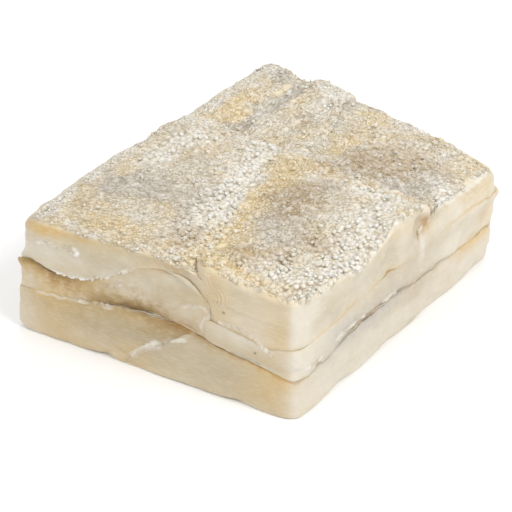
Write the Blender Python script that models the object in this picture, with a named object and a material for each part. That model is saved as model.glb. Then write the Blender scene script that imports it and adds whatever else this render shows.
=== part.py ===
"""A block of salted dried cod: eight pieces of fillet pressed into three layers.

Every piece is a four-sided slab. Its outline in plan is a patch between four sides, which may differ
between its lower and its upper level, so that a seam can slant. Its floor and its roof are height
functions of plan position, and its edges are rounded by a radius of their own on each side.
Lengths are in millimetres until the meshes are made. X runs along the front, Y to the back, Z up.
Lists of four go south (front), east (right), north (back), west (left).
"""

import bpy
import numpy as np

MM = 0.001

# Driving dimensions.
CROWN_LEVEL = 62.0  # height at which the crown outline holds
LOWER_SEAM = 23.0  # mean height of the seam between bottom and middle layer
UPPER_SEAM = 38.0  # mean height of the seam between middle and top layer
GAP_IN_PLAN = 0.3  # what each piece keeps clear of a seam, in plan
GAP_IN_HEIGHT = 0.2  # and in height
BLOCK_MIDDLE = (0.831, 2.692)  # middle of the whole block's box, in the outline's own coordinates

# Corners and seam ends of the outline, where the block stands and at its crown.
FOOT = {
    "front_left": (-82.0, -108.6),
    "front_seam": (22.0, -104.2),
    "front_right": (77.6, -105.5),
    "right_seam": (79.6, 3.5),
    "back_right": (81.0, 79.0),
    "back_seam": (-20.0, 97.5),
    "back_left": (-75.0, 108.5),
    "left_seam": (-78.0, 33.0),
}
CROWN = {
    "front_left": (-78.5, -106.6),
    "front_seam": (20.0, -104.0),
    "front_right": (77.4, -102.4),
    "right_seam": (81.5, 3.5),
    "back_right": (86.0, 80.0),
    "back_seam": (-20.0, 103.5),
    "back_left": (-79.5, 116.0),
    "left_seam": (-79.5, 33.0),
}
LEFT_BOW = 3.0  # how far the left side swells outwards

# Creases and seams in plan, without their ends on the outline.
MIDDLE = (-13.0, 25.0)  # where the four top pieces meet
FRONT_CREASE = [(15.0, -93.0), (12.5, -78.0), (0.0, -38.0), (-9.0, -3.0)]
LEFT_CREASE = [(-60.0, 31.0), (-31.0, 25.5)]
RIGHT_CREASE = [(-4.0, 30.0), (11.0, 21.0), (44.0, 16.0), (64.0, 10.0)]
BACK_CREASE = [(-6.0, 38.0), (-4.0, 52.0), (-9.0, 70.0), (-17.0, 88.0)]
MIDDLE_SEAM = [(12.5, -78.0), (0.0, -38.0), (-5.0, 10.0), (-4.0, 60.0)]
MIDDLE_SEAM_BACK = (-8.0, 98.0)
# Near the front the middle layer's seam slants: it ends further right at its foot than at its top. The
# left piece is the taller one there, and the top piece on the right leans on its slanting end.
MIDDLE_SEAM_LOW = [(26.2, -104.2), (19.2, -93.0)]
MIDDLE_SEAM_HIGH = [(20.8, -104.0), (15.5, -93.0)]
MIDDLE_SEAM_RIGHT = [(25.8, -104.1), (18.8, -93.0)]
LEANING_CREASE = [*MIDDLE_SEAM_RIGHT, (13.3, -78.0), (0.9, -38.0), (-8.4, -3.0)]
BOTTOM_SEAM_HIGH = [(17.0, -75.0), (8.0, -20.0), (6.0, 50.0)]
BOTTOM_SEAM_LOW = [(-16.0, -75.0), (-11.0, -20.0), (0.0, 50.0)]
BOTTOM_SEAM_FRONT = (-19.0, -107.4)  # at the foot: the seam slants, and ends further right at its top
BOTTOM_SEAM_BACK = (10.0, 93.5)

# Rows of points over a piece: the same along both sides of a seam, so that its facets match there.
LEFT_ROWS, RIGHT_ROWS, FRONT_ROWS, BACK_ROWS = 11, 9, 15, 9
ARC_STEPS = 2  # steps round each rounded edge
WALL_STEPS = 2  # steps up the wall between them

# Each piece's colour and roughness: bare flesh is smoother than the salt crust.
FINISH = {
    "bottom_left": ((0.50, 0.42, 0.29), 0.50),
    "bottom_right": ((0.52, 0.45, 0.32), 0.50),
    "middle_left": ((0.50, 0.42, 0.28), 0.45),
    "middle_right": ((0.55, 0.48, 0.34), 0.50),
    "top_front_left": ((0.60, 0.53, 0.40), 0.70),
    "top_front_right": ((0.60, 0.53, 0.39), 0.70),
    "top_back_left": ((0.63, 0.57, 0.45), 0.75),
    "top_back_right": ((0.58, 0.51, 0.38), 0.75),
}


def bump(x, y, at, spread, height):
    """A Gaussian hill: height times e to minus half the squared distance, measured in its spreads."""
    return height * np.exp(-0.5 * (((x - at[0]) / spread[0]) ** 2 + ((y - at[1]) / spread[1]) ** 2))


def ground(x, y):
    return np.zeros_like(x)


def lower_seam(x, y):
    """Height between bottom and middle layer: high on the front, low at its right corner."""
    return (
        LOWER_SEAM
        + bump(x, y, (2.0, -106.0), (36.0, 40.0), 8.2)
        + bump(x, y, (78.0, -104.0), (20.0, 20.0), -3.6)
        + bump(x, y, (80.0, -48.0), (30.0, 26.0), 4.2)
        + bump(x, y, (36.0, -106.0), (10.0, 16.0), -2.0)
        + bump(x, y, (80.0, 70.0), (60.0, 30.0), -2.0)
    )


def upper_seam(x, y):
    """Height between middle and top layer on the right: a dip on the front, two swells on the right."""
    return (
        UPPER_SEAM
        + bump(x, y, (62.0, -104.0), (11.0, 14.0), -3.5)
        + bump(x, y, (80.0, -35.0), (30.0, 22.0), 3.3)
        + bump(x, y, (83.0, 45.0), (30.0, 20.0), 5.5)
    )


def upper_seam_left(x, y):
    """The same on the left, where the middle piece swells up under the thin end of the top one."""
    swell = bump(x, y, (4.0, -106.0), (21.0, 30.0), 19.5)
    return upper_seam(x, y) + swell + bump(x, y, (-48.0, -108.0), (14.0, 20.0), -2.0)


def middle_left_roof(x, y):
    """The middle piece's side of that seam: a little lower on the swell, which flat facets bridge."""
    return upper_seam_left(x, y) + bump(x, y, (4.0, -100.0), (25.0, 30.0), -0.6)


def roof_front_left(x, y):
    front_swell = bump(x, y, (-12.0, -106.0), (40.0, 25.0), 2.4)
    return 61.5 + front_swell + bump(x, y, (-45.0, -20.0), (30.0, 40.0), 0.8)


def roof_front_right(x, y):
    """A shoulder over the front crease, a raised left side and a lobe at the back of the right side."""
    return (
        60.5
        + bump(x, y, (27.0, -103.0), (13.0, 16.0), 4.6)
        + bump(x, y, (18.0, -20.0), (22.0, 45.0), 2.5)
        + bump(x, y, (82.0, -14.0), (16.0, 11.0), 6.5)
        + bump(x, y, (78.0, -50.0), (12.0, 10.0), -2.5)
    )


def roof_back_left(x, y):
    """A shallow fold runs from back to front."""
    fold = -2.5 * np.exp(-0.5 * ((x + 43.0 + 0.1 * y) / 7.0) ** 2)
    return 59.5 + fold + bump(x, y, (-20.0, 80.0), (18.0, 25.0), 1.5)


def roof_back_right(x, y):
    """A plane that falls to the right and to the back, with a low swell."""
    return 59.5 - 0.045 * (x + 10.0) - 0.035 * (y - 25.0) + bump(x, y, (20.0, 75.0), (25.0, 18.0), 1.5)


def through(points, share):
    """Points at shares 0 to 1 of a smooth line through plan points. Each span is a cubic between two
    points, whose end slopes are the line's mean slopes there."""
    points = np.asarray(points, float)
    knots = np.concatenate([[0.0], np.cumsum(np.linalg.norm(np.diff(points, axis=0), axis=1))])
    slopes = np.gradient(points, knots, axis=0)
    reach = np.clip(share, 0.0, 1.0) * knots[-1]
    span = np.clip(np.searchsorted(knots, reach, side="right") - 1, 0, len(points) - 2)
    step = (knots[span + 1] - knots[span])[..., None]
    f = (reach - knots[span])[..., None] / step
    return (
        (1 + 2 * f) * (1 - f) ** 2 * points[span]
        + f * (1 - f) ** 2 * step * slopes[span]
        + f**2 * (3 - 2 * f) * points[span + 1]
        + f**2 * (f - 1) * step * slopes[span + 1]
    )


def outline_at(level):
    """The outline's named points at a height: straight from foot to crown."""
    share = level / CROWN_LEVEL
    return {name: tuple((1 - share) * np.array(FOOT[name]) + share * np.array(CROWN[name])) for name in FOOT}


def bowed(start, end, bow=0.0):
    """Three points of a side that swells to its left by bow at its middle."""
    start, end = np.array(start), np.array(end)
    run = end - start
    swell = bow * np.array([-run[1], run[0]]) / np.linalg.norm(run)
    return [tuple(start), tuple((start + end) / 2 + swell), tuple(end)]


def top_sides(level, front_right):
    """The sides of the four top pieces at a height, each run to the east or to the north. The piece at
    the front right has its own front crease."""
    at = outline_at(level)
    front = [at["front_seam"], *FRONT_CREASE, MIDDLE]
    left = [at["left_seam"], *LEFT_CREASE, MIDDLE]
    right = [MIDDLE, *RIGHT_CREASE, at["right_seam"]]
    back = [MIDDLE, *BACK_CREASE, at["back_seam"]]
    return {
        "top_front_left": (
            bowed(at["front_left"], at["front_seam"]),
            front,
            left,
            bowed(at["front_left"], at["left_seam"], LEFT_BOW),
        ),
        "top_front_right": (
            bowed(front_right[0], at["front_right"]),
            bowed(at["front_right"], at["right_seam"]),
            right,
            front_right,
        ),
        "top_back_left": (
            left,
            back,
            bowed(at["back_left"], at["back_seam"]),
            bowed(at["left_seam"], at["back_left"]),
        ),
        "top_back_right": (
            right,
            bowed(at["right_seam"], at["back_right"]),
            bowed(at["back_seam"], at["back_right"]),
            back,
        ),
    }


def half_sides(level, seam, right_seam=None):
    """The sides of a layer's left and right piece at a height, on either side of a seam to the back. The
    right piece may have a seam of its own."""
    at = outline_at(level)
    right_seam = right_seam or seam
    left = (
        bowed(at["front_left"], seam[0]),
        seam,
        bowed(at["back_left"], seam[-1]),
        bowed(at["front_left"], at["back_left"], LEFT_BOW / 2),
    )
    right = (
        bowed(right_seam[0], at["front_right"]),
        bowed(at["front_right"], at["back_right"]),
        bowed(right_seam[-1], at["back_right"]),
        right_seam,
    )
    return left, right


def patch(sides, a, b):
    """Plan points at (a, b), each from -1 to 1, of the patch between four sides: the straight blend of
    south and north, plus that of west and east, less the one of the four corners."""
    south, east, north, west = sides
    u, v = (a + 1) / 2, (b + 1) / 2
    s, e, n, w = through(south, u), through(east, v), through(north, u), through(west, v)
    u, v = u[..., None], v[..., None]
    corners = (
        (1 - u) * (1 - v) * np.array(south[0])
        + u * (1 - v) * np.array(south[-1])
        + (1 - u) * v * np.array(north[0])
        + u * v * np.array(north[-1])
    )
    return (1 - v) * s + v * n + (1 - u) * w + u * e - corners


def cornered(a, b, half, draws):
    """(a, b) with the square's corners drawn in by lengths (south-west, south-east, north-east,
    north-west): a side bends in by a power of the place along it that meets the next at 45 degrees."""
    draw = np.where(a > 0, np.where(b > 0, draws[2], draws[1]), np.where(b > 0, draws[3], draws[0]))
    power_a, power_b = half[0] / draw - 1, half[1] / draw - 1
    return (
        a * (1 - draw / half[0] * np.abs(b) ** power_b),
        b * (1 - draw / half[1] * np.abs(a) ** power_a),
    )


def by_side(a, b, values):
    """A value for each side, blended near the corners of the square."""
    reach = np.maximum(np.maximum(np.abs(a), np.abs(b)), 1e-6)
    weights = [np.clip(k / reach, 1e-3, 1) ** 8 for k in (-b, a, b, -a)]
    return sum(w * value for w, value in zip(weights, values)) / sum(weights)


def rim_of(along, across):
    """Indices of a grid's outer points, counter-clockwise from its first."""
    first, side = np.arange(along - 1), np.arange(across - 1)
    last = across - 1
    return np.concatenate(
        [first * across, (along - 1) * across + side, (along - 1 - first) * across + last, last - side]
    )


class Slab:
    """One piece of fillet: its sides at two levels, its floor and roof, and how its edges go."""

    def __init__(self, rows, low, high, floor, roof, round_low, round_high, corners, drops=(0, 0, 0, 0)):
        self.rows = rows
        self.low, self.high = low, high
        self.floor, self.roof = floor, roof
        self.round_low, self.round_high = round_low, round_high
        self.corners, self.drops = corners, drops
        west, east, south, north = patch(high, np.array([-1.0, 1, 0, 0]), np.array([0.0, 0, -1, 1]))
        self.half = np.linalg.norm(east - west) / 2, np.linalg.norm(north - south) / 2

    def plan(self, a, b, inset, share):
        """Plan points inset from the outline by a length, at a share of the way up."""
        a, b = cornered(a, b, self.half, self.corners)
        a, b = a * (1 - (GAP_IN_PLAN + inset) / self.half[0]), b * (1 - (GAP_IN_PLAN + inset) / self.half[1])
        share = np.broadcast_to(share, a.shape)[..., None]
        return (1 - share) * patch(self.low, a, b) + share * patch(self.high, a, b)

    def floor_at(self, xy):
        gap = 0.0 if self.floor is ground else GAP_IN_HEIGHT
        return self.floor(xy[..., 0], xy[..., 1]) + gap

    def roof_at(self, a, b, xy):
        """The roof's height, which falls off to each side by its drop, over some 9 mm."""
        fall = 9.0
        away = (1 + b) * self.half[1], (1 - a) * self.half[0], (1 - b) * self.half[1], (1 + a) * self.half[0]
        drop = sum(d * np.exp(-distance / fall) for d, distance in zip(self.drops, away))
        return self.roof(xy[..., 0], xy[..., 1]) - drop - GAP_IN_HEIGHT

    def wall_ring(self, a, b, edge, step, steps):
        """One ring of the wall: round the low edge (edge 0), up between the edges (1), round the high
        one (2), at a step of its steps. Its height and the share of the way up settle in two rounds."""
        low, high = by_side(a, b, self.round_low), by_side(a, b, self.round_high)
        turn = np.pi / 2 * step / steps
        inset = (low * (1 - np.sin(turn)), 0 * low, high * (1 - np.cos(turn)))[edge]
        share = edge / 2
        for _ in range(3):
            xy = self.plan(a, b, inset, share)
            floor, roof = self.floor_at(xy), self.roof_at(a, b, xy)
            between = floor + low + step / steps * (roof - high - floor - low)
            z = (floor + low * (1 - np.cos(turn)), between, roof - high * (1 - np.sin(turn)))[edge]
            share = np.clip((z - floor) / (roof - floor), 0, 1)
        return np.column_stack([xy, z])

    def surface(self):
        """The closed surface's points and faces: a floor grid, rings up the wall, and a roof grid."""
        along, across = self.rows
        a, b = np.meshgrid(np.linspace(-1, 1, along), np.linspace(-1, 1, across), indexing="ij")
        near_rim = np.maximum(np.abs(a), np.abs(b)) ** 4
        floor_xy = self.plan(a, b, by_side(a, b, self.round_low) * near_rim, 0.0)
        roof_xy = self.plan(a, b, by_side(a, b, self.round_high) * near_rim, 1.0)
        rim = rim_of(along, across)
        rim_a, rim_b = a.ravel()[rim], b.ravel()[rim]
        steps = [(0, k, ARC_STEPS) for k in range(1, ARC_STEPS + 1)]
        steps += [(1, k, WALL_STEPS) for k in range(1, WALL_STEPS)]
        steps += [(2, k, ARC_STEPS) for k in range(ARC_STEPS)]
        rings = [self.wall_ring(rim_a, rim_b, *step) for step in steps]
        points = [
            np.dstack([floor_xy, self.floor_at(floor_xy)]).reshape(-1, 3),
            *rings,
            np.dstack([roof_xy, self.roof_at(a, b, roof_xy)]).reshape(-1, 3),
        ]
        cell = np.arange((along - 1) * (across - 1))
        corner = cell // (across - 1) * across + cell % (across - 1)
        quads = np.column_stack([corner, corner + across, corner + across + 1, corner + 1])
        size, around = along * across, len(rim)
        roof_start = size + len(rings) * around
        loops = [rim, *(size + k * around + np.arange(around) for k in range(len(rings))), roof_start + rim]
        walls = [np.column_stack([p, np.roll(p, -1), np.roll(q, -1), q]) for p, q in zip(loops, loops[1:])]
        return np.concatenate(points), np.concatenate([quads[:, ::-1], *walls, roof_start + quads])


def bottom_slabs():
    foot_seam = [BOTTOM_SEAM_FRONT, *BOTTOM_SEAM_LOW, BOTTOM_SEAM_BACK]
    high_seam = [outline_at(LOWER_SEAM)["front_seam"], *BOTTOM_SEAM_HIGH, BOTTOM_SEAM_BACK]
    sides = zip(half_sides(0.0, foot_seam), half_sides(LOWER_SEAM, high_seam))
    edges = {
        "bottom_left": (LEFT_ROWS, (2.5, 1.0, 3.0, 3.5), (1.5, 1.0, 1.5, 2.0), (1.2, 0.3, 0.3, 1.5)),
        "bottom_right": (RIGHT_ROWS, (2.5, 2.0, 3.0, 1.0), (2.0, 1.5, 1.5, 1.0), (0.3, 0.8, 1.5, 0.3)),
    }
    return {
        name: Slab((along, FRONT_ROWS + BACK_ROWS - 1), *levels, ground, lower_seam, low, high, corners)
        for (name, (along, low, high, corners)), levels in zip(edges.items(), sides)
    }


def middle_slabs():
    starts = MIDDLE_SEAM_LOW, MIDDLE_SEAM_HIGH, MIDDLE_SEAM_RIGHT
    low, high, right = ([*start, *MIDDLE_SEAM, MIDDLE_SEAM_BACK] for start in starts)
    sides = zip(half_sides(LOWER_SEAM, low), half_sides(UPPER_SEAM, high, right))
    edges = {
        "middle_left": (LEFT_ROWS, middle_left_roof, (3.0, 1.5, 2, 2), (3.0, 2, 2, 2), (1.2, 0.5, 0.3, 1.5)),
        "middle_right": (RIGHT_ROWS, upper_seam, (1.5, 1.5, 2, 1.5), (2.0, 1, 2, 2), (1.0, 0.8, 1.5, 0.3)),
    }
    return {
        name: Slab((along, FRONT_ROWS + BACK_ROWS - 1), *levels, lower_seam, roof, low, high, corners)
        for (name, (along, roof, low, high, corners)), levels in zip(edges.items(), sides)
    }


def top_slabs():
    crown_crease = [outline_at(CROWN_LEVEL)["front_seam"], *FRONT_CREASE, MIDDLE]
    low, high = top_sides(UPPER_SEAM, [*LEANING_CREASE, MIDDLE]), top_sides(CROWN_LEVEL, crown_crease)

    def slab(name, rows, floor, roof, **edges):
        return {name: Slab(rows, low[name], high[name], floor, roof, **edges)}

    return {
        **slab(
            "top_front_left",
            (LEFT_ROWS, FRONT_ROWS),
            upper_seam_left,
            roof_front_left,
            round_low=(1.2, 1.2, 1.5, 2.0),
            round_high=(2.5, 2.5, 3.0, 7.0),
            corners=(2.6, 1.2, 1.0, 1.0),
            drops=(0, 4.5, 1.5, 1.0),
        ),
        **slab(
            "top_front_right",
            (RIGHT_ROWS, FRONT_ROWS),
            upper_seam,
            roof_front_right,
            round_low=(1.5, 1.5, 2.0, 2.0),
            round_high=(3.0, 3.0, 3.0, 3.5),
            corners=(3.0, 0.8, 3.5, 1.0),
            drops=(0, 0, -1.0, 0),
        ),
        **slab(
            "top_back_left",
            (LEFT_ROWS, BACK_ROWS),
            upper_seam_left,
            roof_back_left,
            round_low=(1.5, 1.5, 2.0, 2.0),
            round_high=(3.0, 3.0, 5.0, 5.0),
            corners=(1.0, 1.0, 2.5, 2.0),
            drops=(2.5, 3.5, 0, 0),
        ),
        **slab(
            "top_back_right",
            (RIGHT_ROWS, BACK_ROWS),
            upper_seam,
            roof_back_right,
            round_low=(1.5, 2.0, 2.0, 1.5),
            round_high=(3.0, 7.0, 5.0, 3.0),
            corners=(1.0, 2.5, 3.0, 1.2),
            drops=(3.0, 2.0, 0, 0),
        ),
    }


def flesh(name, colour, roughness):
    """A dull material: bare cut flesh, or a salt-crusted top."""
    material = bpy.data.materials.new(name)
    material.use_nodes = True
    shader = material.node_tree.nodes["Principled BSDF"]
    shader.inputs["Base Color"].default_value = (*colour, 1.0)
    shader.inputs["Roughness"].default_value = roughness
    shader.inputs["Metallic"].default_value = 0.0
    return material


def add_piece(name, slab, material):
    points, faces = slab.surface()
    points = (points - np.array([*BLOCK_MIDDLE, 0.0])) * MM
    mesh = bpy.data.meshes.new(name)
    mesh.from_pydata(points.tolist(), [], faces.tolist())
    mesh.shade_smooth()
    mesh.set_sharp_from_angle(angle=np.radians(40.0))
    mesh.materials.append(material)
    piece = bpy.data.objects.new(name, mesh)
    bpy.context.scene.collection.objects.link(piece)


def main():
    for old in list(bpy.data.objects):
        bpy.data.objects.remove(old)
    for name, slab in {**bottom_slabs(), **middle_slabs(), **top_slabs()}.items():
        add_piece(name, slab, flesh(name, *FINISH[name]))


main()
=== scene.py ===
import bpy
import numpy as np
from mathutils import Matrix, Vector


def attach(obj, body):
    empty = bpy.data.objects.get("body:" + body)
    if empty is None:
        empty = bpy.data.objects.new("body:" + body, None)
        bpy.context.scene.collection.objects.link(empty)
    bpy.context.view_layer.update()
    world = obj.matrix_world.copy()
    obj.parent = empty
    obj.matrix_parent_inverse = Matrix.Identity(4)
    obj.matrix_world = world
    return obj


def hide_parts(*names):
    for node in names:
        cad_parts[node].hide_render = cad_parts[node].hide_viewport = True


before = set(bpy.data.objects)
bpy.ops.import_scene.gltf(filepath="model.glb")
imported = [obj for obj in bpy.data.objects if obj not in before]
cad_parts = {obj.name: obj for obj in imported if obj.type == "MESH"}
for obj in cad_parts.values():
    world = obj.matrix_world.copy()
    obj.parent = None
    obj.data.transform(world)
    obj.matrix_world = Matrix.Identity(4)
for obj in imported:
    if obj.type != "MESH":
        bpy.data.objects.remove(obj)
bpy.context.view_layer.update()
# A block of salted dried cod: eight pieces of fillet in three layers, with bare cut sides and a top that is
# crusted with coarse salt. Each piece repeats its CAD node's outline and seams, in millimetres, with finer edges,
# and adds what the CAD leaves out: salt beads, flakes and folds of the flesh, stained and salted seams.
# X runs along the front, Y to the back, Z up. Lists of four go south (front), east (right), north (back), west.

MM = 0.001
STEP = 0.56  # spacing of points on visible surfaces
BLOCK_MIDDLE = np.array([0.831, 2.692, 0.0])  # the frame's origin in the block's own coordinates
CROWN_LEVEL, LOWER_SEAM, UPPER_SEAM = 62.0, 23.0, 38.0  # heights of the crown outline and of the two seams

FOOT = {
    "front_left": (-82.0, -108.6),
    "front_seam": (22.0, -104.2),
    "front_right": (77.6, -105.5),
    "right_seam": (79.6, 3.5),
    "back_right": (81.0, 79.0),
    "back_seam": (-20.0, 97.5),
    "back_left": (-75.0, 108.5),
    "left_seam": (-78.0, 33.0),
}
CROWN = {
    "front_left": (-78.5, -106.6),
    "front_seam": (20.0, -104.0),
    "front_right": (77.4, -102.4),
    "right_seam": (81.5, 3.5),
    "back_right": (86.0, 80.0),
    "back_seam": (-20.0, 103.5),
    "back_left": (-79.5, 116.0),
    "left_seam": (-79.5, 33.0),
}
LEFT_BOW = 3.0  # how far the left side swells outwards
MIDDLE = (-13.0, 25.0)  # where the four top pieces meet
FRONT_CREASE = [(15.0, -93.0), (12.5, -78.0), (0.0, -38.0), (-9.0, -3.0)]
LEFT_CREASE = [(-60.0, 31.0), (-31.0, 25.5)]
RIGHT_CREASE = [(-4.0, 30.0), (11.0, 21.0), (44.0, 16.0), (64.0, 10.0)]
BACK_CREASE = [(-6.0, 38.0), (-4.0, 52.0), (-9.0, 70.0), (-17.0, 88.0)]
MIDDLE_SEAM = [(12.5, -78.0), (0.0, -38.0), (-5.0, 10.0), (-4.0, 60.0)]
MIDDLE_SEAM_BACK = (-8.0, 98.0)
# Near the front the middle layer's seam slants: it ends further right at its foot than at its top.
MIDDLE_SEAM_LOW = [(26.2, -104.2), (19.2, -93.0)]
MIDDLE_SEAM_HIGH = [(20.8, -104.0), (15.5, -93.0)]
MIDDLE_SEAM_RIGHT = [(25.8, -104.1), (18.8, -93.0)]
LEANING_CREASE = [*MIDDLE_SEAM_RIGHT, (12.9, -78.0), (0.5, -38.0), (-8.7, -3.0)]
BOTTOM_SEAM_HIGH = [(17.0, -75.0), (8.0, -20.0), (6.0, 50.0)]
BOTTOM_SEAM_LOW = [(-16.0, -75.0), (-11.0, -20.0), (0.0, 50.0)]
BOTTOM_SEAM_FRONT, BOTTOM_SEAM_BACK = (-19.0, -107.4), (10.0, 93.5)


# ---------------------------------------------------------------- random numbers, noise and bumps


def chance(cells, seed):
    """A repeatable share from 0 to 1 for each whole-numbered cell: its numbers are mixed in turn, by
    exclusive or, multiplication and shifts of 32-bit whole numbers."""
    mixed = np.zeros(np.broadcast_shapes(*(np.shape(c) for c in cells)), np.uint32) + np.uint32(seed * 7919 + 17)
    for cell in cells:
        mixed = (mixed ^ np.asarray(cell, np.int64).astype(np.uint32)) * np.uint32(0x85EBCA6B)
        mixed = (mixed ^ (mixed >> np.uint32(13))) * np.uint32(0xC2B2AE35)
        mixed = mixed ^ (mixed >> np.uint32(16))
    return mixed / 2.0**32


def noise(points, size, seed):
    """Smooth noise from -1 to 1: random values at the corners of cells of that size (one number, or one
    for each axis), blended by a smooth step along each axis."""
    scaled = points / size
    cell = np.floor(scaled).astype(np.int64)
    part = scaled - cell
    part = part * part * (3 - 2 * part)
    total = 0.0
    for corner in np.ndindex(*(2,) * points.shape[-1]):
        weight = np.prod([np.where(c, part[..., k], 1 - part[..., k]) for k, c in enumerate(corner)], axis=0)
        total = total + weight * chance([cell[..., k] + c for k, c in enumerate(corner)], seed)
    return 2 * total - 1


def ramp(value, start, end):
    """0 at start and 1 at end, with a smooth step between."""
    share = np.clip((value - start) / (end - start), 0, 1)
    return share * share * (3 - 2 * share)


def bump(x, y, at, spread, height=1.0):
    """A Gaussian hill: height times e to minus half the squared distance, measured in its spreads."""
    return height * np.exp(-0.5 * (((x - at[0]) / spread[0]) ** 2 + ((y - at[1]) / spread[1]) ** 2))


def patches(x, y, spots):
    """A sum of Gaussian spots, each (x, y, spread x, spread y, strength)."""
    return sum(bump(x, y, spot[:2], spot[2:4], spot[4]) for spot in spots)


# ---------------------------------------------------------------- the seams' and roofs' heights


def ground(x, y):
    return np.zeros_like(x)


def front_end(x, y):
    """1 where the crease between the two front top pieces meets the front, falling off to the back."""
    return bump(x, y, (20.0, -108.0), (30.0, 12.0))


def gaps_of_lower_seam(x, y):
    """Where the lower seam gapes on the right side: a few torn places along it."""
    return sum(bump(x, y, (80.0, at), (12.0, spread)) for at, spread in ((-87, 4), (-62, 6), (-43, 9), (-17, 5), (14, 7), (42, 5)))


def values_at(values, xy):
    """The values of the four sides, of which some are functions of plan position."""
    return [value(xy[..., 0], xy[..., 1]) if callable(value) else value for value in values]


def unevenness(x, y, seed):
    """A seam's small ups and downs."""
    place = np.stack([x, y], axis=-1)
    return 0.4 * noise(place, 4.5, seed) + 0.25 * noise(place, 1.9, seed + 1)


def lower_seam(x, y):
    """Height between bottom and middle layer: high on the front, low at its right corner."""
    return (
        LOWER_SEAM
        + unevenness(x, y, 91)
        + bump(x, y, (2.0, -106.0), (36.0, 40.0), 8.2)
        + bump(x, y, (78.0, -104.0), (20.0, 20.0), -3.6)
        + bump(x, y, (80.0, -48.0), (30.0, 26.0), 4.2)
        + bump(x, y, (36.0, -106.0), (10.0, 16.0), -2.0)
        + bump(x, y, (82.0, -78.0), (14.0, 16.0), -2.4)
        + bump(x, y, (82.0, -46.0), (14.0, 12.0), -1.8)
        + bump(x, y, (80.0, 70.0), (60.0, 30.0), -2.0)
    )


def upper_seam(x, y):
    """Height between middle and top layer on the right: a dip on the front, two swells on the right."""
    return (
        UPPER_SEAM
        + unevenness(x, y, 93)
        + bump(x, y, (62.0, -104.0), (11.0, 14.0), -3.5)
        + bump(x, y, (80.0, -35.0), (30.0, 22.0), 3.3)
        + bump(x, y, (83.0, 45.0), (30.0, 20.0), 5.5)
    )


def upper_seam_left(x, y):
    """The same on the left, where the middle piece swells up under the thin end of the top one."""
    swell = bump(x, y, (4.0, -106.0), (21.0, 30.0), 19.5)
    end = bump(x, y, (-70.0, -107.0), (6.0, 14.0), 2.8)
    return upper_seam(x, y) + swell + end + bump(x, y, (-48.0, -108.0), (14.0, 20.0), -2.0)


def roof_front_left(x, y):
    front_swell = bump(x, y, (-12.0, -106.0), (40.0, 25.0), 2.4)
    return 61.5 + front_swell + bump(x, y, (-45.0, -20.0), (30.0, 40.0), 0.8)


def roof_front_right(x, y):
    """A shoulder over the front crease, a raised left side and a lobe at the back of the right side."""
    return (
        60.5
        + bump(x, y, (27.0, -103.0), (13.0, 16.0), 4.6)
        + bump(x, y, (18.0, -20.0), (22.0, 45.0), 2.5)
        + bump(x, y, (82.0, -14.0), (16.0, 11.0), 6.5)
        + bump(x, y, (78.0, -50.0), (12.0, 10.0), -2.5)
    )


def roof_back_left(x, y):
    """A shallow fold runs from back to front."""
    fold = -2.5 * np.exp(-0.5 * ((x + 43.0 + 0.1 * y) / 7.0) ** 2)
    return 59.5 + fold + bump(x, y, (-20.0, 80.0), (18.0, 25.0), 1.5)


def roof_back_right(x, y):
    """A plane that falls to the right and to the back, with a low swell."""
    return 59.5 - 0.045 * (x + 10.0) - 0.035 * (y - 25.0) + bump(x, y, (20.0, 75.0), (25.0, 18.0), 1.5)


# ---------------------------------------------------------------- outlines


def through(points, share):
    """Points at shares 0 to 1 of a smooth line through plan points. Each span is a cubic between two
    points, whose end slopes are the line's mean slopes there."""
    points = np.asarray(points, float)
    knots = np.concatenate([[0.0], np.cumsum(np.linalg.norm(np.diff(points, axis=0), axis=1))])
    slopes = np.gradient(points, knots, axis=0)
    reach = np.clip(share, 0.0, 1.0) * knots[-1]
    span = np.clip(np.searchsorted(knots, reach, side="right") - 1, 0, len(points) - 2)
    step = (knots[span + 1] - knots[span])[..., None]
    f = (reach - knots[span])[..., None] / step
    return (
        (1 + 2 * f) * (1 - f) ** 2 * points[span]
        + f * (1 - f) ** 2 * step * slopes[span]
        + f**2 * (3 - 2 * f) * points[span + 1]
        + f**2 * (f - 1) * step * slopes[span + 1]
    )


def outline_at(level):
    """The outline's named points at a height: straight from foot to crown."""
    share = level / CROWN_LEVEL
    return {name: tuple((1 - share) * np.array(FOOT[name]) + share * np.array(CROWN[name])) for name in FOOT}


def bowed(start, end, bow=0.0):
    """Three points of a side that swells to its left by bow at its middle."""
    start, end = np.array(start), np.array(end)
    run = end - start
    swell = bow * np.array([-run[1], run[0]]) / np.linalg.norm(run)
    return [tuple(start), tuple((start + end) / 2 + swell), tuple(end)]


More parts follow.
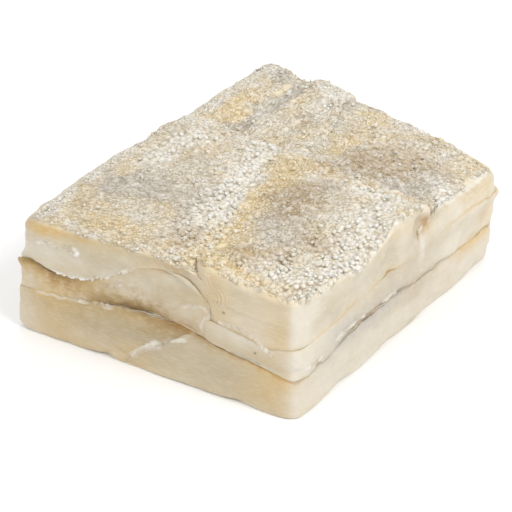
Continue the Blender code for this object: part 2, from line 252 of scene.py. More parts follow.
def top_sides(level, front_right):
    """The sides of the four top pieces at a height, each run to the east or to the north. The piece at
    the front right has its own front crease."""
    at = outline_at(level)
    front = [at["front_seam"], *FRONT_CREASE, MIDDLE]
    left = [at["left_seam"], *LEFT_CREASE, MIDDLE]
    right = [MIDDLE, *RIGHT_CREASE, at["right_seam"]]
    back = [MIDDLE, *BACK_CREASE, at["back_seam"]]
    front_left_edge = bowed(at["front_left"], at["left_seam"], LEFT_BOW)
    front_into = pressed(front, 9.0, 1.0)
    right_into = pressed(right[::-1], 7.0, 0.8, axis=1)[::-1]
    right_under = pressed(right[::-1], -4.0, 0.0, axis=1)[::-1]
    back_into = pressed(back[::-1], 6.0, 2.0)[::-1]
    return {
        "top_front_left": (bowed(at["front_left"], front_into[0]), front_into, [*left[:-1], front_into[-1]], front_left_edge),
        "top_front_right": (
            bowed(front_right[0], at["front_right"]),
            bowed(at["front_right"], on_right(at, right_into[-1])),
            [*right_into[:-1], on_right(at, right_into[-1])],
            [*front_right[:-1], right_into[0]],
        ),
        "top_back_left": (
            [*left[:-1], back_into[0]],
            back_into,
            bowed(at["back_left"], back_into[-1]),
            bowed(at["left_seam"], at["back_left"]),
        ),
        "top_back_right": (
            [*right_under[:-1], on_right(at, right_under[-1])],
            bowed(on_right(at, right_under[-1]), at["back_right"]),
            bowed(at["back_seam"], at["back_right"]),
            back,
        ),
    }


def on_right(at, point):
    """The place on the straight right side, front to back, that is level with a point."""
    (x0, y0), (x1, y1) = at["front_right"], at["back_right"]
    return x0 + (x1 - x0) * (point[1] - y0) / (y1 - y0), point[1]


def pressed(line, end, rest, axis=0):
    """A side pressed into its neighbour along X or Y: by one length at the outer end of the seam, half of
    it at the next point and another length on the rest. The line is given from the outer end."""
    moved = [list(point) for point in line]
    for k, point in enumerate(moved):
        point[axis] += (end, end / 2)[k] if k < 2 else rest
    return [tuple(point) for point in moved]


def half_sides(level, seam, end, right_seam=None):
    """The sides of a layer's left and right piece at a height, on either side of a seam to the back. The
    right piece may have a seam of its own."""
    at = outline_at(level)
    into = pressed(seam, end, 1.0)
    left = (
        bowed(at["front_left"], into[0]),
        into,
        bowed(at["back_left"], seam[-1]),
        bowed(at["front_left"], at["back_left"], LEFT_BOW / 2),
    )
    right_seam = right_seam or seam
    right = (
        bowed(right_seam[0], at["front_right"]),
        bowed(at["front_right"], at["back_right"]),
        bowed(right_seam[-1], at["back_right"]),
        right_seam,
    )
    return left, right


def patch(sides, a, b):
    """Plan points at (a, b), each from -1 to 1, of the patch between four sides: the straight blend of
    south and north, plus that of west and east, less the one of the four corners."""
    south, east, north, west = sides
    u, v = (a + 1) / 2, (b + 1) / 2
    s, e, n, w = through(south, u), through(east, v), through(north, u), through(west, v)
    u, v = u[..., None], v[..., None]
    corners = (
        (1 - u) * (1 - v) * np.array(south[0])
        + u * (1 - v) * np.array(south[-1])
        + (1 - u) * v * np.array(north[0])
        + u * v * np.array(north[-1])
    )
    return (1 - v) * s + v * n + (1 - u) * w + u * e - corners


def cornered(a, b, half, draws):
    """(a, b) with the square's corners drawn in by lengths (south-west, south-east, north-east,
    north-west): a side bends in by a power of the place along it that meets the next at 45 degrees."""
    draw = np.where(a > 0, np.where(b > 0, draws[2], draws[1]), np.where(b > 0, draws[3], draws[0]))
    power_a, power_b = half[0] / draw - 1, half[1] / draw - 1
    return (
        a * (1 - draw / half[0] * np.abs(b) ** power_b),
        b * (1 - draw / half[1] * np.abs(a) ** power_a),
    )


def by_side(a, b, values):
    """A value for each side, blended near the corners of the square."""
    reach = np.maximum(np.maximum(np.abs(a), np.abs(b)), 1e-6)
    weights = [np.clip(k / reach, 1e-3, 1) ** 8 for k in (-b, a, b, -a)]
    return sum(w * value for w, value in zip(weights, values)) / sum(weights)


def rim_of(along, across):
    """Indices of a grid's outer points, counter-clockwise from its first."""
    first, side = np.arange(along - 1), np.arange(across - 1)
    last = across - 1
    return np.concatenate(
        [first * across, (along - 1) * across + side, (along - 1 - first) * across + last, last - side]
    )


# ---------------------------------------------------------------- one piece of fillet


class Fillet:
    """One piece: its sides at two levels, floor and roof heights, edge radii, corner lengths and drops.
    Its surface is a loop of points round the piece for each level of the wall, a roof (a grid on a top
    piece, loops that close to a point on the others) and a floor of loops that close to a point."""

    GAP = 0.0  # the visible pieces touch their neighbours
    CAP_SHARES = (0.985, 0.95, 0.85, 0.6, 0.3)  # places of the loops that close a hidden floor or roof

    def __init__(self, low, high, floor, roof, round_low, round_high, corners, drops=(0, 0, 0, 0), crusted=False):
        self.low, self.high = low, high
        self.floor, self.roof = floor, roof
        self.round_low, self.round_high = round_low, round_high
        self.corners, self.drops, self.crusted = corners, drops, crusted
        west, east, south, north = patch(high, np.array([-1.0, 1, 0, 0]), np.array([0.0, 0, -1, 1]))
        self.half = np.linalg.norm(east - west) / 2, np.linalg.norm(north - south) / 2

    def plan(self, a, b, inset, share):
        """Plan points inset from the outline by a length, at a share of the way up."""
        a, b = cornered(a, b, self.half, self.corners)
        a, b = a * (1 - (self.GAP + inset) / self.half[0]), b * (1 - (self.GAP + inset) / self.half[1])
        share = np.broadcast_to(share, a.shape)[..., None]
        return (1 - share) * patch(self.low, a, b) + share * patch(self.high, a, b)

    def floor_at(self, xy):
        return self.floor(xy[..., 0], xy[..., 1]) + (0.0 if self.floor is ground else self.GAP)

    def roof_at(self, a, b, xy):
        """The roof's height, which falls off to each side by its drop, over some 9 mm."""
        fall = 9.0
        away = (1 + b) * self.half[1], (1 - a) * self.half[0], (1 - b) * self.half[1], (1 + a) * self.half[0]
        drop = sum(d * np.exp(-distance / fall) for d, distance in zip(values_at(self.drops, xy), away))
        return self.roof(xy[..., 0], xy[..., 1]) - drop - self.GAP

    def wall(self, a, b, step):
        """All loops of the wall at once, from the floor's edge to the roof's: a quarter turn round the low
        edge, straight up, and a quarter turn round the high one. The height and the share of the way up
        that gives the outline depend on each other, and settle in three rounds."""
        start = self.plan(a, b, 0 * a, 0.5)
        low = edge_radius(self.round_low, a, b, start, 31) + (foot_lift(start) if self.floor is ground else 0)
        high = edge_radius(self.round_high, a, b, start, 32)
        tall = np.median(self.roof_at(a, b, start) - self.floor_at(start))
        arcs = max(4, round(1.2 * max(low.max(), high.max()) / step))
        ups = max(3, round((tall - np.median(low) - np.median(high)) / step))
        turns = np.concatenate([np.arange(1, arcs + 1) / arcs, np.ones(ups - 1), np.zeros(arcs)])[:, None]
        turn_low = turns * np.pi / 2
        up = np.concatenate([np.zeros(arcs), np.arange(1, ups) / ups, np.ones(arcs)])[:, None]
        turn_high = np.concatenate([np.zeros(arcs + ups - 1), np.arange(arcs) / arcs])[:, None] * np.pi / 2
        is_high = np.arange(len(turns))[:, None] >= arcs + ups - 1
        inset = np.where(is_high, high * (1 - np.cos(turn_high)), low * (1 - np.sin(turn_low)))
        a, b = np.broadcast_to(a, inset.shape), np.broadcast_to(b, inset.shape)
        share = np.broadcast_to(0.5, inset.shape)
        for _ in range(3):
            xy = self.plan(a, b, inset, share)
            floor, roof = self.floor_at(xy), self.roof_at(a, b, xy)
            z = np.where(
                is_high,
                roof - high * (1 - np.sin(turn_high)),
                np.where(up > 0, floor + low + up * (roof - high - floor - low), floor + low * (1 - np.cos(turn_low))),
            )
            share = np.clip((z - floor) / (roof - floor), 0, 1)
        return np.dstack([xy, z]), floor, roof, high

    def surface(self, step):
        """Points, faces, and what the relief and the colours read at each point: the place on the crust
        rolled out flat, the depth below the roof's edge, and the heights of the floor and the roof."""
        along, across = (max(12, round(2 * half / step) + 1) for half in self.half)
        a, b = np.meshgrid(np.linspace(-1, 1, along), np.linspace(-1, 1, across), indexing="ij")
        rim = rim_of(along, across)
        rim_a, rim_b = a.ravel()[rim], b.ravel()[rim]
        wall, wall_floor, wall_roof, high = self.wall(rim_a, rim_b, step)
        rings, around = wall.shape[:2]

        def cap(share_up, height_at, edge):
            scale = np.array(self.CAP_SHARES)[:, None]
            cap_a, cap_b = scale * rim_a, scale * rim_b
            xy = self.plan(cap_a, cap_b, edge, share_up)
            xy = np.concatenate([xy.reshape(-1, 2), self.plan(0 * rim_a[:1], 0 * rim_b[:1], 0.0, share_up)])
            return np.column_stack([xy, height_at(xy)])

        low_edge = wall_inset_low(self, rim_a, rim_b)
        floor_cap = cap(0.0, self.floor_at, np.broadcast_to(low_edge, (5, around)))
        edge_low = self.plan(rim_a, rim_b, low_edge, 0.0)
        edge_low = np.column_stack([edge_low, self.floor_at(edge_low)])
        parts = [floor_cap, edge_low, wall.reshape(-1, 3)]
        start = len(floor_cap) + around
        floor_loops = [np.arange(k * around, (k + 1) * around) for k in range(5)]
        low_loop = len(floor_cap) + np.arange(around)
        wall_loops = [start + k * around + np.arange(around) for k in range(rings)]
        loops = [*floor_loops[::-1], low_loop, *wall_loops]
        roof_start = start + rings * around
        if self.crusted:
            near_rim = np.maximum(np.abs(a), np.abs(b)) ** 6
            edge = edge_radius(self.round_high, a, b, self.plan(a, b, 0 * a, 0.5), 32)
            roof_xy = self.plan(a, b, edge * near_rim, 1.0)
            parts.append(np.dstack([roof_xy, self.roof_at(a, b, roof_xy)]).reshape(-1, 3))
            cell = np.arange((along - 1) * (across - 1))
            corner = cell // (across - 1) * across + cell % (across - 1)
            quads = roof_start + np.column_stack([corner, corner + across, corner + across + 1, corner + 1])
            loops.append(roof_start + rim)
            faces = [quads]
        else:
            inset = np.broadcast_to(high, (5, around))
            edge_xy = self.plan(rim_a, rim_b, high, 1.0)
            parts.append(np.column_stack([edge_xy, self.roof_at(rim_a, rim_b, edge_xy)]))
            parts.append(cap(1.0, lambda xy: self.roof(xy[:, 0], xy[:, 1]) - self.GAP, inset))
            loops.append(roof_start + np.arange(around))
            roof_start += around
            loops += [roof_start + k * around + np.arange(around) for k in range(5)]
            faces = [fan(loops[-1], roof_start + 5 * around)]
        faces += [np.column_stack([p, np.roll(p, -1), np.roll(q, -1), q]) for p, q in zip(loops, loops[1:])]
        faces.append(fan(floor_loops[-1][::-1], 5 * around))
        points = np.concatenate(parts)
        count = len(points)
        flat, depth = points[:, :2].copy(), np.zeros(count)
        floor, roof = np.zeros(count) + points[:, 2], np.zeros(count) + points[:, 2] + 99.0
        on_wall = slice(start, start + rings * around)
        floor[on_wall], roof[on_wall] = wall_floor.ravel(), wall_roof.ravel()
        floor[roof_start:] = points[roof_start:, 2] - 20.0
        roof[roof_start:] = points[roof_start:, 2]
        if self.crusted:
            edge_points = points[roof_start + rim]
            step_down = np.linalg.norm(np.diff(np.concatenate([wall, edge_points[None]]), axis=0), axis=2)
            down = np.cumsum(step_down[::-1], axis=0)[::-1]
            run = np.roll(edge_points, -2, axis=0)[:, :2] - np.roll(edge_points, 2, axis=0)[:, :2]
            run = smooth_round(run, 12)
            out = np.column_stack([run[:, 1], -run[:, 0]]) / np.linalg.norm(run, axis=1)[:, None]
            rolled = edge_points[None, :, :2] + down[..., None] * out[None]
            flat[on_wall], depth[on_wall] = rolled.reshape(-1, 2), down.ravel()
        else:
            depth[on_wall] = (wall_roof - wall[..., 2]).ravel()
        depth[:start] = 99.0
        return points, np.concatenate([split(f) for f in faces]), flat, depth, floor, roof


def wall_inset_low(piece, a, b):
    start = piece.plan(a, b, 0 * a, 0.5)
    return edge_radius(piece.round_low, a, b, start, 31) + (foot_lift(start) if piece.floor is ground else 0)


def edge_radius(radii, a, b, xy, seed):
    """An edge's radius, which wanders by a third along it."""
    return by_side(a, b, values_at(radii, xy)) * (1 + 0.22 * noise(xy, 9.0, seed) + 0.16 * noise(xy, 3.1, seed + 7))


FOOT_LIFTS = [
    (-84.0, -109.0, 7.0, 7.0, 4.0),
    (-13.0, -106.0, 5.0, 8.0, 4.5),
    (51.0, -105.0, 4.0, 8.0, 2.5),
    (78.0, -68.0, 8.0, 6.0, 3.5),
    (78.0, -22.0, 8.0, 9.0, 3.0),
    (78.0, 13.0, 8.0, 6.0, 2.5),
    (79.0, 66.0, 8.0, 9.0, 2.5),
    (-78.0, -40.0, 8.0, 9.0, 2.5),
    (-76.0, 60.0, 8.0, 12.0, 2.0),
    (30.0, 90.0, 9.0, 8.0, 2.5),
    (-45.0, 104.0, 9.0, 8.0, 3.0),
]


def foot_lift(xy):
    """How much more the foot is rounded off in places, as torn flesh."""
    return patches(xy[..., 0], xy[..., 1], FOOT_LIFTS) + 0.5 + 0.5 * noise(xy, 6.0, 41)


def fan(loop, pole):
    """Triangles from a loop to one point."""
    return np.column_stack([loop, np.roll(loop, -1), np.full(len(loop), pole)])


def split(faces):
    """Quads as two triangles each."""
    if faces.shape[1] == 3:
        return faces
    return np.concatenate([faces[:, [0, 1, 2]], faces[:, [0, 2, 3]]])


def smooth_round(values, reach):
    """The mean of a closed row of values over a few neighbours on either side."""
    return sum(np.roll(values, k, axis=0) for k in range(-reach, reach + 1)) / (2 * reach + 1)


def normals_of(points, faces):
    """Unit normals at the points: the sum of the cross products of the faces that meet there."""
    corner = points[faces]
    cross = np.cross(corner[:, 1] - corner[:, 0], corner[:, 2] - corner[:, 0])
    total = np.zeros_like(points)
    for k in range(3):
        for axis in range(3):
            total[:, axis] += np.bincount(faces[:, k], cross[:, axis], len(points))
    return total / np.maximum(np.linalg.norm(total, axis=1), 1e-12)[:, None]


# ---------------------------------------------------------------- the salt crust

# Where the crust is of which kind, in plan: (x, y, spread x, spread y, strength).
YELLOW = [
    (-68, -62, 7, 26, 0.5), (-72, -12, 6, 24, 0.4), (-44, -90, 18, 8, 0.6), (-17, -93, 12, 8, 0.25),
    (27, -86, 8, 8, 0.9), (20, -66, 6, 12, 1.1), (13, -45, 6, 13, 1.2), (6, -25, 6, 13, 1.1), (1, -6, 6, 12, 1.1),
    (-3, 12, 5, 8, 0.9), (-62, 52, 7, 20, 1.0), (-30, 40, 9, 10, 0.3), (8, 48, 5, 14, 0.9), (10, 80, 26, 8, 0.4),
    (72, 62, 10, 20, 0.5), (20, 14, 10, 4, 0.6), (-35, 70, 5, 18, 0.3), (12, 84, 5, 3, 0.8), (38, -95, 22, 6, 0.9),
    (12, -12, 6, 10, 0.8), (34, -80, 11, 6, 0.8),
]
GREY = [
    (-52, -52, 13, 8, 1.4), (-28, -38, 20, 14, 0.5), (-36, -8, 12, 10, 0.4), (-12, -66, 8, 16, 0.5),
    (26, -34, 8, 18, 1.0), (44, -50, 13, 14, 0.7), (30, -4, 12, 9, 0.6), (40, 44, 20, 15, 0.9),
    (47, 27, 14, 9, 0.8), (68, 38, 10, 16, 0.4), (-47, 52, 5, 16, 1.1), (-46, 84, 5, 12, 1.0),
    (-63, 99, 9, 7, 0.9), (-20, 92, 8, 10, 0.6), (-12, 70, 4, 12, 0.5), (5, -84, 6, 8, 0.5), (-9, -50, 6, 8, 0.5),
]
BROWN = [
    (22, -12, 10, 10, 0.9), (30, -42, 10, 8, 0.5), (20, 18, 9, 5, 0.8), (30, 34, 12, 10, 0.6),
    (-60, -75, 9, 14, 0.4), (54, 50, 12, 12, 0.5), (-26, -58, 14, 10, 0.4), (6, -80, 4, 8, 0.9),
    (38, -72, 11, 7, 0.9), (58, -48, 10, 9, 0.9), (27, -24, 9, 10, 0.8), (-18, 60, 3.5, 9, 0.9), (34, 46, 8, 7, 0.8), (0, -85, 7, 5, 0.8), (37, -83, 9, 6, 0.9), (37, 50, 12, 12, 0.6),
]
WHITE = [
    (-57, -12, 6, 18, 1.2), (-49, 8, 8, 7, 0.4), (9, -94, 6, 6, 0.5), (2, -72, 6, 9, 0.25), (0, -58, 7, 13, 0.8), (-30, -77, 10, 10, 0.6),
    (-6, -36, 7, 13, 0.95), (-12, -14, 7, 13, 0.85), (-18, 8, 9, 10, 0.9), (-28, 18, 12, 5, 0.8), (66, -22, 9, 20, 0.9),
    (62, -88, 14, 9, 0.6), (73, -60, 7, 18, 0.8), (48, -78, 10, 8, 0.35), (52, 6, 22, 4, 0.8), (50, -22, 8, 8, 0.5),
    (78, 34, 6, 7, 0.8), (-18, 74, 7, 14, 0.6), (60, 68, 22, 5, 0.5), (-70, -94, 7, 5, 0.6), (-64, 24, 8, 5, 0.7),
    (-78, -70, 4, 34, 0.8), (-75, 64, 4, 34, 0.7), (-70, 104, 8, 8, 0.6), (-26, 99, 9, 8, 1.2), (84, 58, 5, 20, 0.8),
    (4, 76, 9, 8, 0.5), (26, 92, 24, 4, 0.6), (-36, 46, 10, 8, 0.7), (3, 27, 8, 6, 0.9), (66, 44, 9, 8, 0.5), (24, 82, 7, 5, 0.7), (-72, -98, 9, 8, 0.6), (-74, -40, 6, 40, 0.5),
]
BARE = [
    (19, -78, 2.4, 4, 1.15), (11, -61, 2.0, 2.5, 1.2), (3, 29, 5, 2.5, 1.3), (-53, 93, 2.2, 12, 0.95),
    (-24, 54, 2.5, 9, 0.9), (89, 50, 8, 28, 1.8), (26, -107, 9, 5, 1.6), (-72, -107, 12, 2, 1.1),
]
LARGE = [
    (9, -90, 6, 10, 0.8), (4, -74, 7, 12, 1.0), (-2, -54, 8, 14, 1.1), (-8, -30, 7, 14, 1.0), (-15, -4, 7, 12, 0.8),
    (-20, 14, 10, 6, 0.6), (68, -26, 9, 22, 0.9), (64, -84, 15, 11, 1.0), (74, -60, 7, 18, 0.9), (50, -74, 12, 10, 0.6),
    (52, 5, 20, 4, 0.8), (-56, -12, 6, 16, 0.8), (-48, 7, 8, 6, 0.6), (-50, 66, 6, 24, 0.5), (38, 56, 18, 16, 0.8), (80, 34, 5, 7, 0.9),
    (-18, 76, 6, 12, 0.5), (52, -44, 10, 10, 0.4),
]
FINE = [
    (-72, -50, 9, 50, 1.0), (-38, -92, 26, 7, 1.0), (-36, -34, 22, 30, 0.7), (24, -36, 9, 26, 0.6),
    (50, 34, 22, 14, 0.5), (13, -45, 6, 20, 0.7), (-32, 50, 12, 20, 0.5), (0, -6, 6, 14, 0.6),
]


# Swells and hollows of the crust: (x, y, spread x, spread y, how far up in mm).
ROOF_SWELLS = [
    (-33, 94, 7, 14, 1.3), (-62, 96, 7, 14, 0.9), (-49, 96, 3.5, 16, -1.6), (-49, 66, 3.0, 14, -0.8), (-21, 66, 3.0, 16, -1.2),
    (-13, 88, 4, 10, -1.0), (-55, 50, 5, 16, 0.7), (-38, 52, 6, 14, 0.6), (-10, 80, 4, 8, 0.8), (84, 33, 4, 4, 1.2),
    (-12, 20, 6, 4, 0.8), (20, 15, 8, 2.5, 0.8), (50, 10, 10, 2.5, 0.9), (-50, 20, 10, 3, 0.8), (2, -58, 6, 20, 0.4), (26, 88, 8, 3, 1.0), (52, 82, 7, 3, 0.8), (8, 93, 5, 4, 1.2), (70, 70, 6, 4, 0.7),
]


def beads(flat, size, seed, tallest, wanted):
    """Round beads on a jittered lattice, of which a wanted share is there: the heights in mm of the two
    tallest domes over each point, and a random share for the tallest one."""
    cell_x, cell_y = np.floor(flat[:, 0] / size), np.floor(flat[:, 1] / size)
    first, second, share = np.zeros((3, len(flat)))
    for i, j in np.ndindex(3, 3):
        cell = cell_x + i - 1, cell_y + j - 1
        centre = [(c + 0.5 + 0.5 * (chance(cell, seed + k) - 0.5)) * size for k, c in enumerate(cell)]
        radius = size * (0.46 + 0.16 * chance(cell, seed + 2))
        flatness = ((flat[:, 0] - centre[0]) ** 2 + (flat[:, 1] - centre[1]) ** 2) / radius**2
        height = tallest * (0.55 + 0.45 * chance(cell, seed + 3))
        dome = np.sqrt(np.clip(1 - flatness, 0, 1)) * height * (chance(cell, seed + 4) < wanted)
        second = np.maximum(second, np.minimum(dome, first))
        share = np.where(dome > first, chance(cell, seed + 5), share)
        first = np.maximum(first, dome)
    return first, second, share


def crust(flat, depth, stretch, turn):
    """The crust's relief in mm; how far inside a bead a place is (0 where two meet); the bead's random
    share; how crusted a place is; how coarse; how deep between large beads, which the material paints darker as painted
    shade; and the place as the small grains see it. Large beads lie where their patches are, middling ones between
    them, small grains everywhere else. Long grains are round ones, seen along a shrunken axis."""
    x, y = flat.T
    wander = flat + np.column_stack([noise(flat, 7.0, 3), noise(flat, 7.0, 4)]) * 1.5
    cos, sin = np.cos(turn), np.sin(turn)
    long = np.column_stack([(cos * wander[:, 0] + sin * wander[:, 1]) / stretch, cos * wander[:, 1] - sin * wander[:, 0]])
    large = np.clip(patches(x, y, LARGE), 0, 1)
    fine = np.clip(patches(x, y, FINE), 0, 1)
    rubbed = np.clip(patches(x, y, BARE), 0, 1.6) + 0.35 * noise(flat, 5.0, 8) + 0.15 * noise(flat, 1.9, 11)
    fade = 1 - ramp(depth + 1.8 * noise(flat, 5.0, 9) + 1.0 * noise(flat, 1.9, 10), 1.0, 3.6)
    cover = (1 - ramp(rubbed, 0.5, 1.0)) * fade
    kinds = [
        beads(long, 2.0, 200, 0.85, (0.45 - 0.25 * fine) * (1 - 0.8 * large)),
        beads(long, 2.6, 300, 1.1, 0.05 + 0.6 * large + 0.13 * (1 - fine)),
        beads(wander, 3.3, 400, 1.55, 0.97 * large),
    ]
    heights = np.sort([kind[k] for kind in kinds for k in (0, 1)], axis=0)
    tallest = np.argmax([kind[0] for kind in kinds], axis=0)
    share = np.choose(tallest, [kind[2] for kind in kinds])
    above = heights[-1] - heights[-2]
    inside = (0.55 * ramp(above, 0.0, 0.22) + 0.45 * ramp(above, 0.1, 1.2)) * ramp(heights[-1], 0.05, 0.45)
    coarse = ramp(heights[-1], 0.1, 0.5)
    # Where large beads leave deep gaps; the material paints these gaps darker as painted shade.
    deep = (1 - ramp(heights[-1], 0.3, 0.9)) * large
    relief = heights[-1] * cover + 0.5 * noise(flat, 6.5, 5) + 0.35 * noise(flat, 13.0, 6) - 0.45
    relief = relief + patches(x, y, ROOF_SWELLS)
    return relief, inside, share, cover, coarse, deep, long


# ---------------------------------------------------------------- colours


def srgb(red, green, blue):
    """An sRGB colour of 0 to 255 as linear light."""
    value = np.array([red, green, blue]) / 255
    return np.where(value <= 0.04045, value / 12.92, ((value + 0.055) / 1.055) ** 2.4)


SAND, PALE_YELLOW, STONE = srgb(207, 198, 178), srgb(219, 201, 160), srgb(188, 183, 174)
UMBER, SALT, SMOOTH = srgb(178, 159, 125), srgb(222, 220, 214), srgb(221, 207, 175)
CREAM, HONEY, WHITE_FLESH = srgb(197, 184, 157), srgb(202, 165, 92), srgb(212, 206, 194)
# The next colour is painted shade: a dark brown laid under the lips of seams and below overhanging pieces.
DUSK = srgb(134, 101, 46)
# The last colour on the next line, a very dark brown, is the skin between the layers, and also painted shade in seam
# gaps and under lips.
ASH, LILAC, RUST, SKIN = srgb(172, 160, 136), srgb(176, 171, 167), srgb(162, 122, 66), srgb(92, 72, 44)


SEAM_MARK_COLOURS = {
    "HONEY": HONEY, "WHITE_FLESH": WHITE_FLESH, "ASH": ASH, "LILAC": LILAC, "RUST": RUST, "SKIN": SKIN, "UMBER": srgb(172, 146, 94), "DUSK": DUSK,
}


def mixed(colour, other, weight):
    """Colours moved towards another by a weight at each point."""
    weight = np.clip(weight, 0, 1)[:, None]
    return colour * (1 - weight) + other * weight


def crust_colour(flat):
    """The crust's colour by plan patches, with their borders broken up by noise."""
    torn = flat + 5.0 * np.column_stack([noise(flat, 9.0, 50), noise(flat, 9.0, 51)])
    torn = torn + 1.8 * np.column_stack([noise(flat, 3.0, 52), noise(flat, 3.0, 53)])
    x, y = torn.T
    colour = mixed(np.tile(SAND, (len(flat), 1)), PALE_YELLOW, 0.5 * ramp(noise(flat, 11.0, 55), 0.2, 0.7))
    colour = mixed(colour, 0.94 * PALE_YELLOW, 0.45 * ramp(noise(flat, 6.0, 57), 0.2, 0.8))
    colour = mixed(colour, SALT, 0.6 * ramp(noise(flat, 5.0, 56), 0.15, 0.7))
    colour = mixed(colour, 0.97 * PALE_YELLOW, ramp(patches(x, y, YELLOW), 0.15, 0.8))
    colour = mixed(colour, STONE, 0.9 * ramp(patches(x, y, GREY), 0.15, 0.9))
    colour = mixed(colour, UMBER, 0.75 * ramp(patches(x, y, BROWN), 0.15, 0.9))
    colour = mixed(colour, SALT, 0.85 * ramp(patches(x, y, WHITE), 0.2, 0.9))
    return mixed(colour, SALT, 0.3 * ramp(noise(flat, 4.0, 58), 0.2, 0.7))


# Stains on the cut sides, with painted shade in the pocket on the right side: (place along, height, spread along,
# spread up, strength).
FRONT_STAINS = [
    (HONEY, [(-58, 20, 18, 6, 0.35), (40, 41, 12, 5, 0.3), (64, 36, 8, 4, 0.3), (-10, 30, 20, 5, 0.3), (-64, 59, 11, 3.0, 0.75), (-38, 60.5, 12, 1.8, 0.4), (-56, 6, 22, 8, 0.3), (62, 13, 13, 8, 0.45),
             (67, 47, 9, 8, 0.5), (30, 58, 7, 8, 0.4), (-14, 8, 9, 5, 0.4), (75, 18, 8, 3, 0.3)]),
    (ASH, [(-19, 42, 18, 6, 0.15), (-31, 16, 22, 7, 0.55), (0, 21, 14, 5, 0.6), (37, 15, 16, 8, 0.55), (-30, 51, 22, 4, 0.35),
           (5, 46, 12, 6, 0.3), (45, 33, 14, 5, 0.25)]),
    (RUST, [(18, 58, 5, 3, 0.1), (8, 60, 12, 1.5, 0.3)]),
    (WHITE_FLESH, [(-78, 18, 7, 22, 0.55), (-60, 49, 14, 4, 0.6), (78, 48, 4.0, 16, 1.0), (52, 40, 12, 6, 0.4), (77, 14, 4.0, 14, 0.7),
                   (10, 36, 14, 4, 0.35), (48, 35, 14, 3, 0.3), (25, 60, 4, 4, 0.4), (-8, 44, 14, 5, 0.35), (60, 52, 12, 5, 0.3)]),
]
SIDE_MARKS = [
    (HONEY, [(-8, 25, 12, 4, 0.4), (60, 20, 16, 3.0, 0.5), (5, 51, 4, 3, 0.75), (64, 50, 16, 5, 0.3), (-19, 60, 8, 3, 0.4), (70, 32, 10, 4, 0.3)]),
    (LILAC, [(-50, 29, 22, 4.0, 0.6), (-14, 29, 10, 4, 0.35), (-70, 33, 10, 5, 0.4), (-36, 22, 22, 3.0, 0.5)]),
    (ASH, [(-62, 50, 26, 7, 0.5), (-62, 14, 28, 7, 0.25), (-4, 62, 6, 3, 0.3), (6, 36, 16, 7, 0.6), (8, 18, 14, 6, 0.3), (-40, 31, 16, 7, 0.45), (-22, 53, 14, 8, 0.35)]),
    (WHITE_FLESH, [(-98, 50, 7, 12, 0.7), (3, 44, 2.0, 6, 0.9), (4, 55, 5, 5, 0.4), (-18, 56, 4, 9, 0.4), (34, 46, 2.5, 6, 0.7),
                   (78, 40, 5, 14, 0.6), (30, 30, 20, 5, 0.3), (-60, 12, 30, 6, 0.3)]),
    (RUST, [(6, 54, 3.0, 3.0, 0.8), (-1, 58, 4, 3, 0.3)]),
    # Painted shade: ash grey in the pocket on the right side.
    (ASH, [(-2, 52, 5, 5, 0.4)]),
]

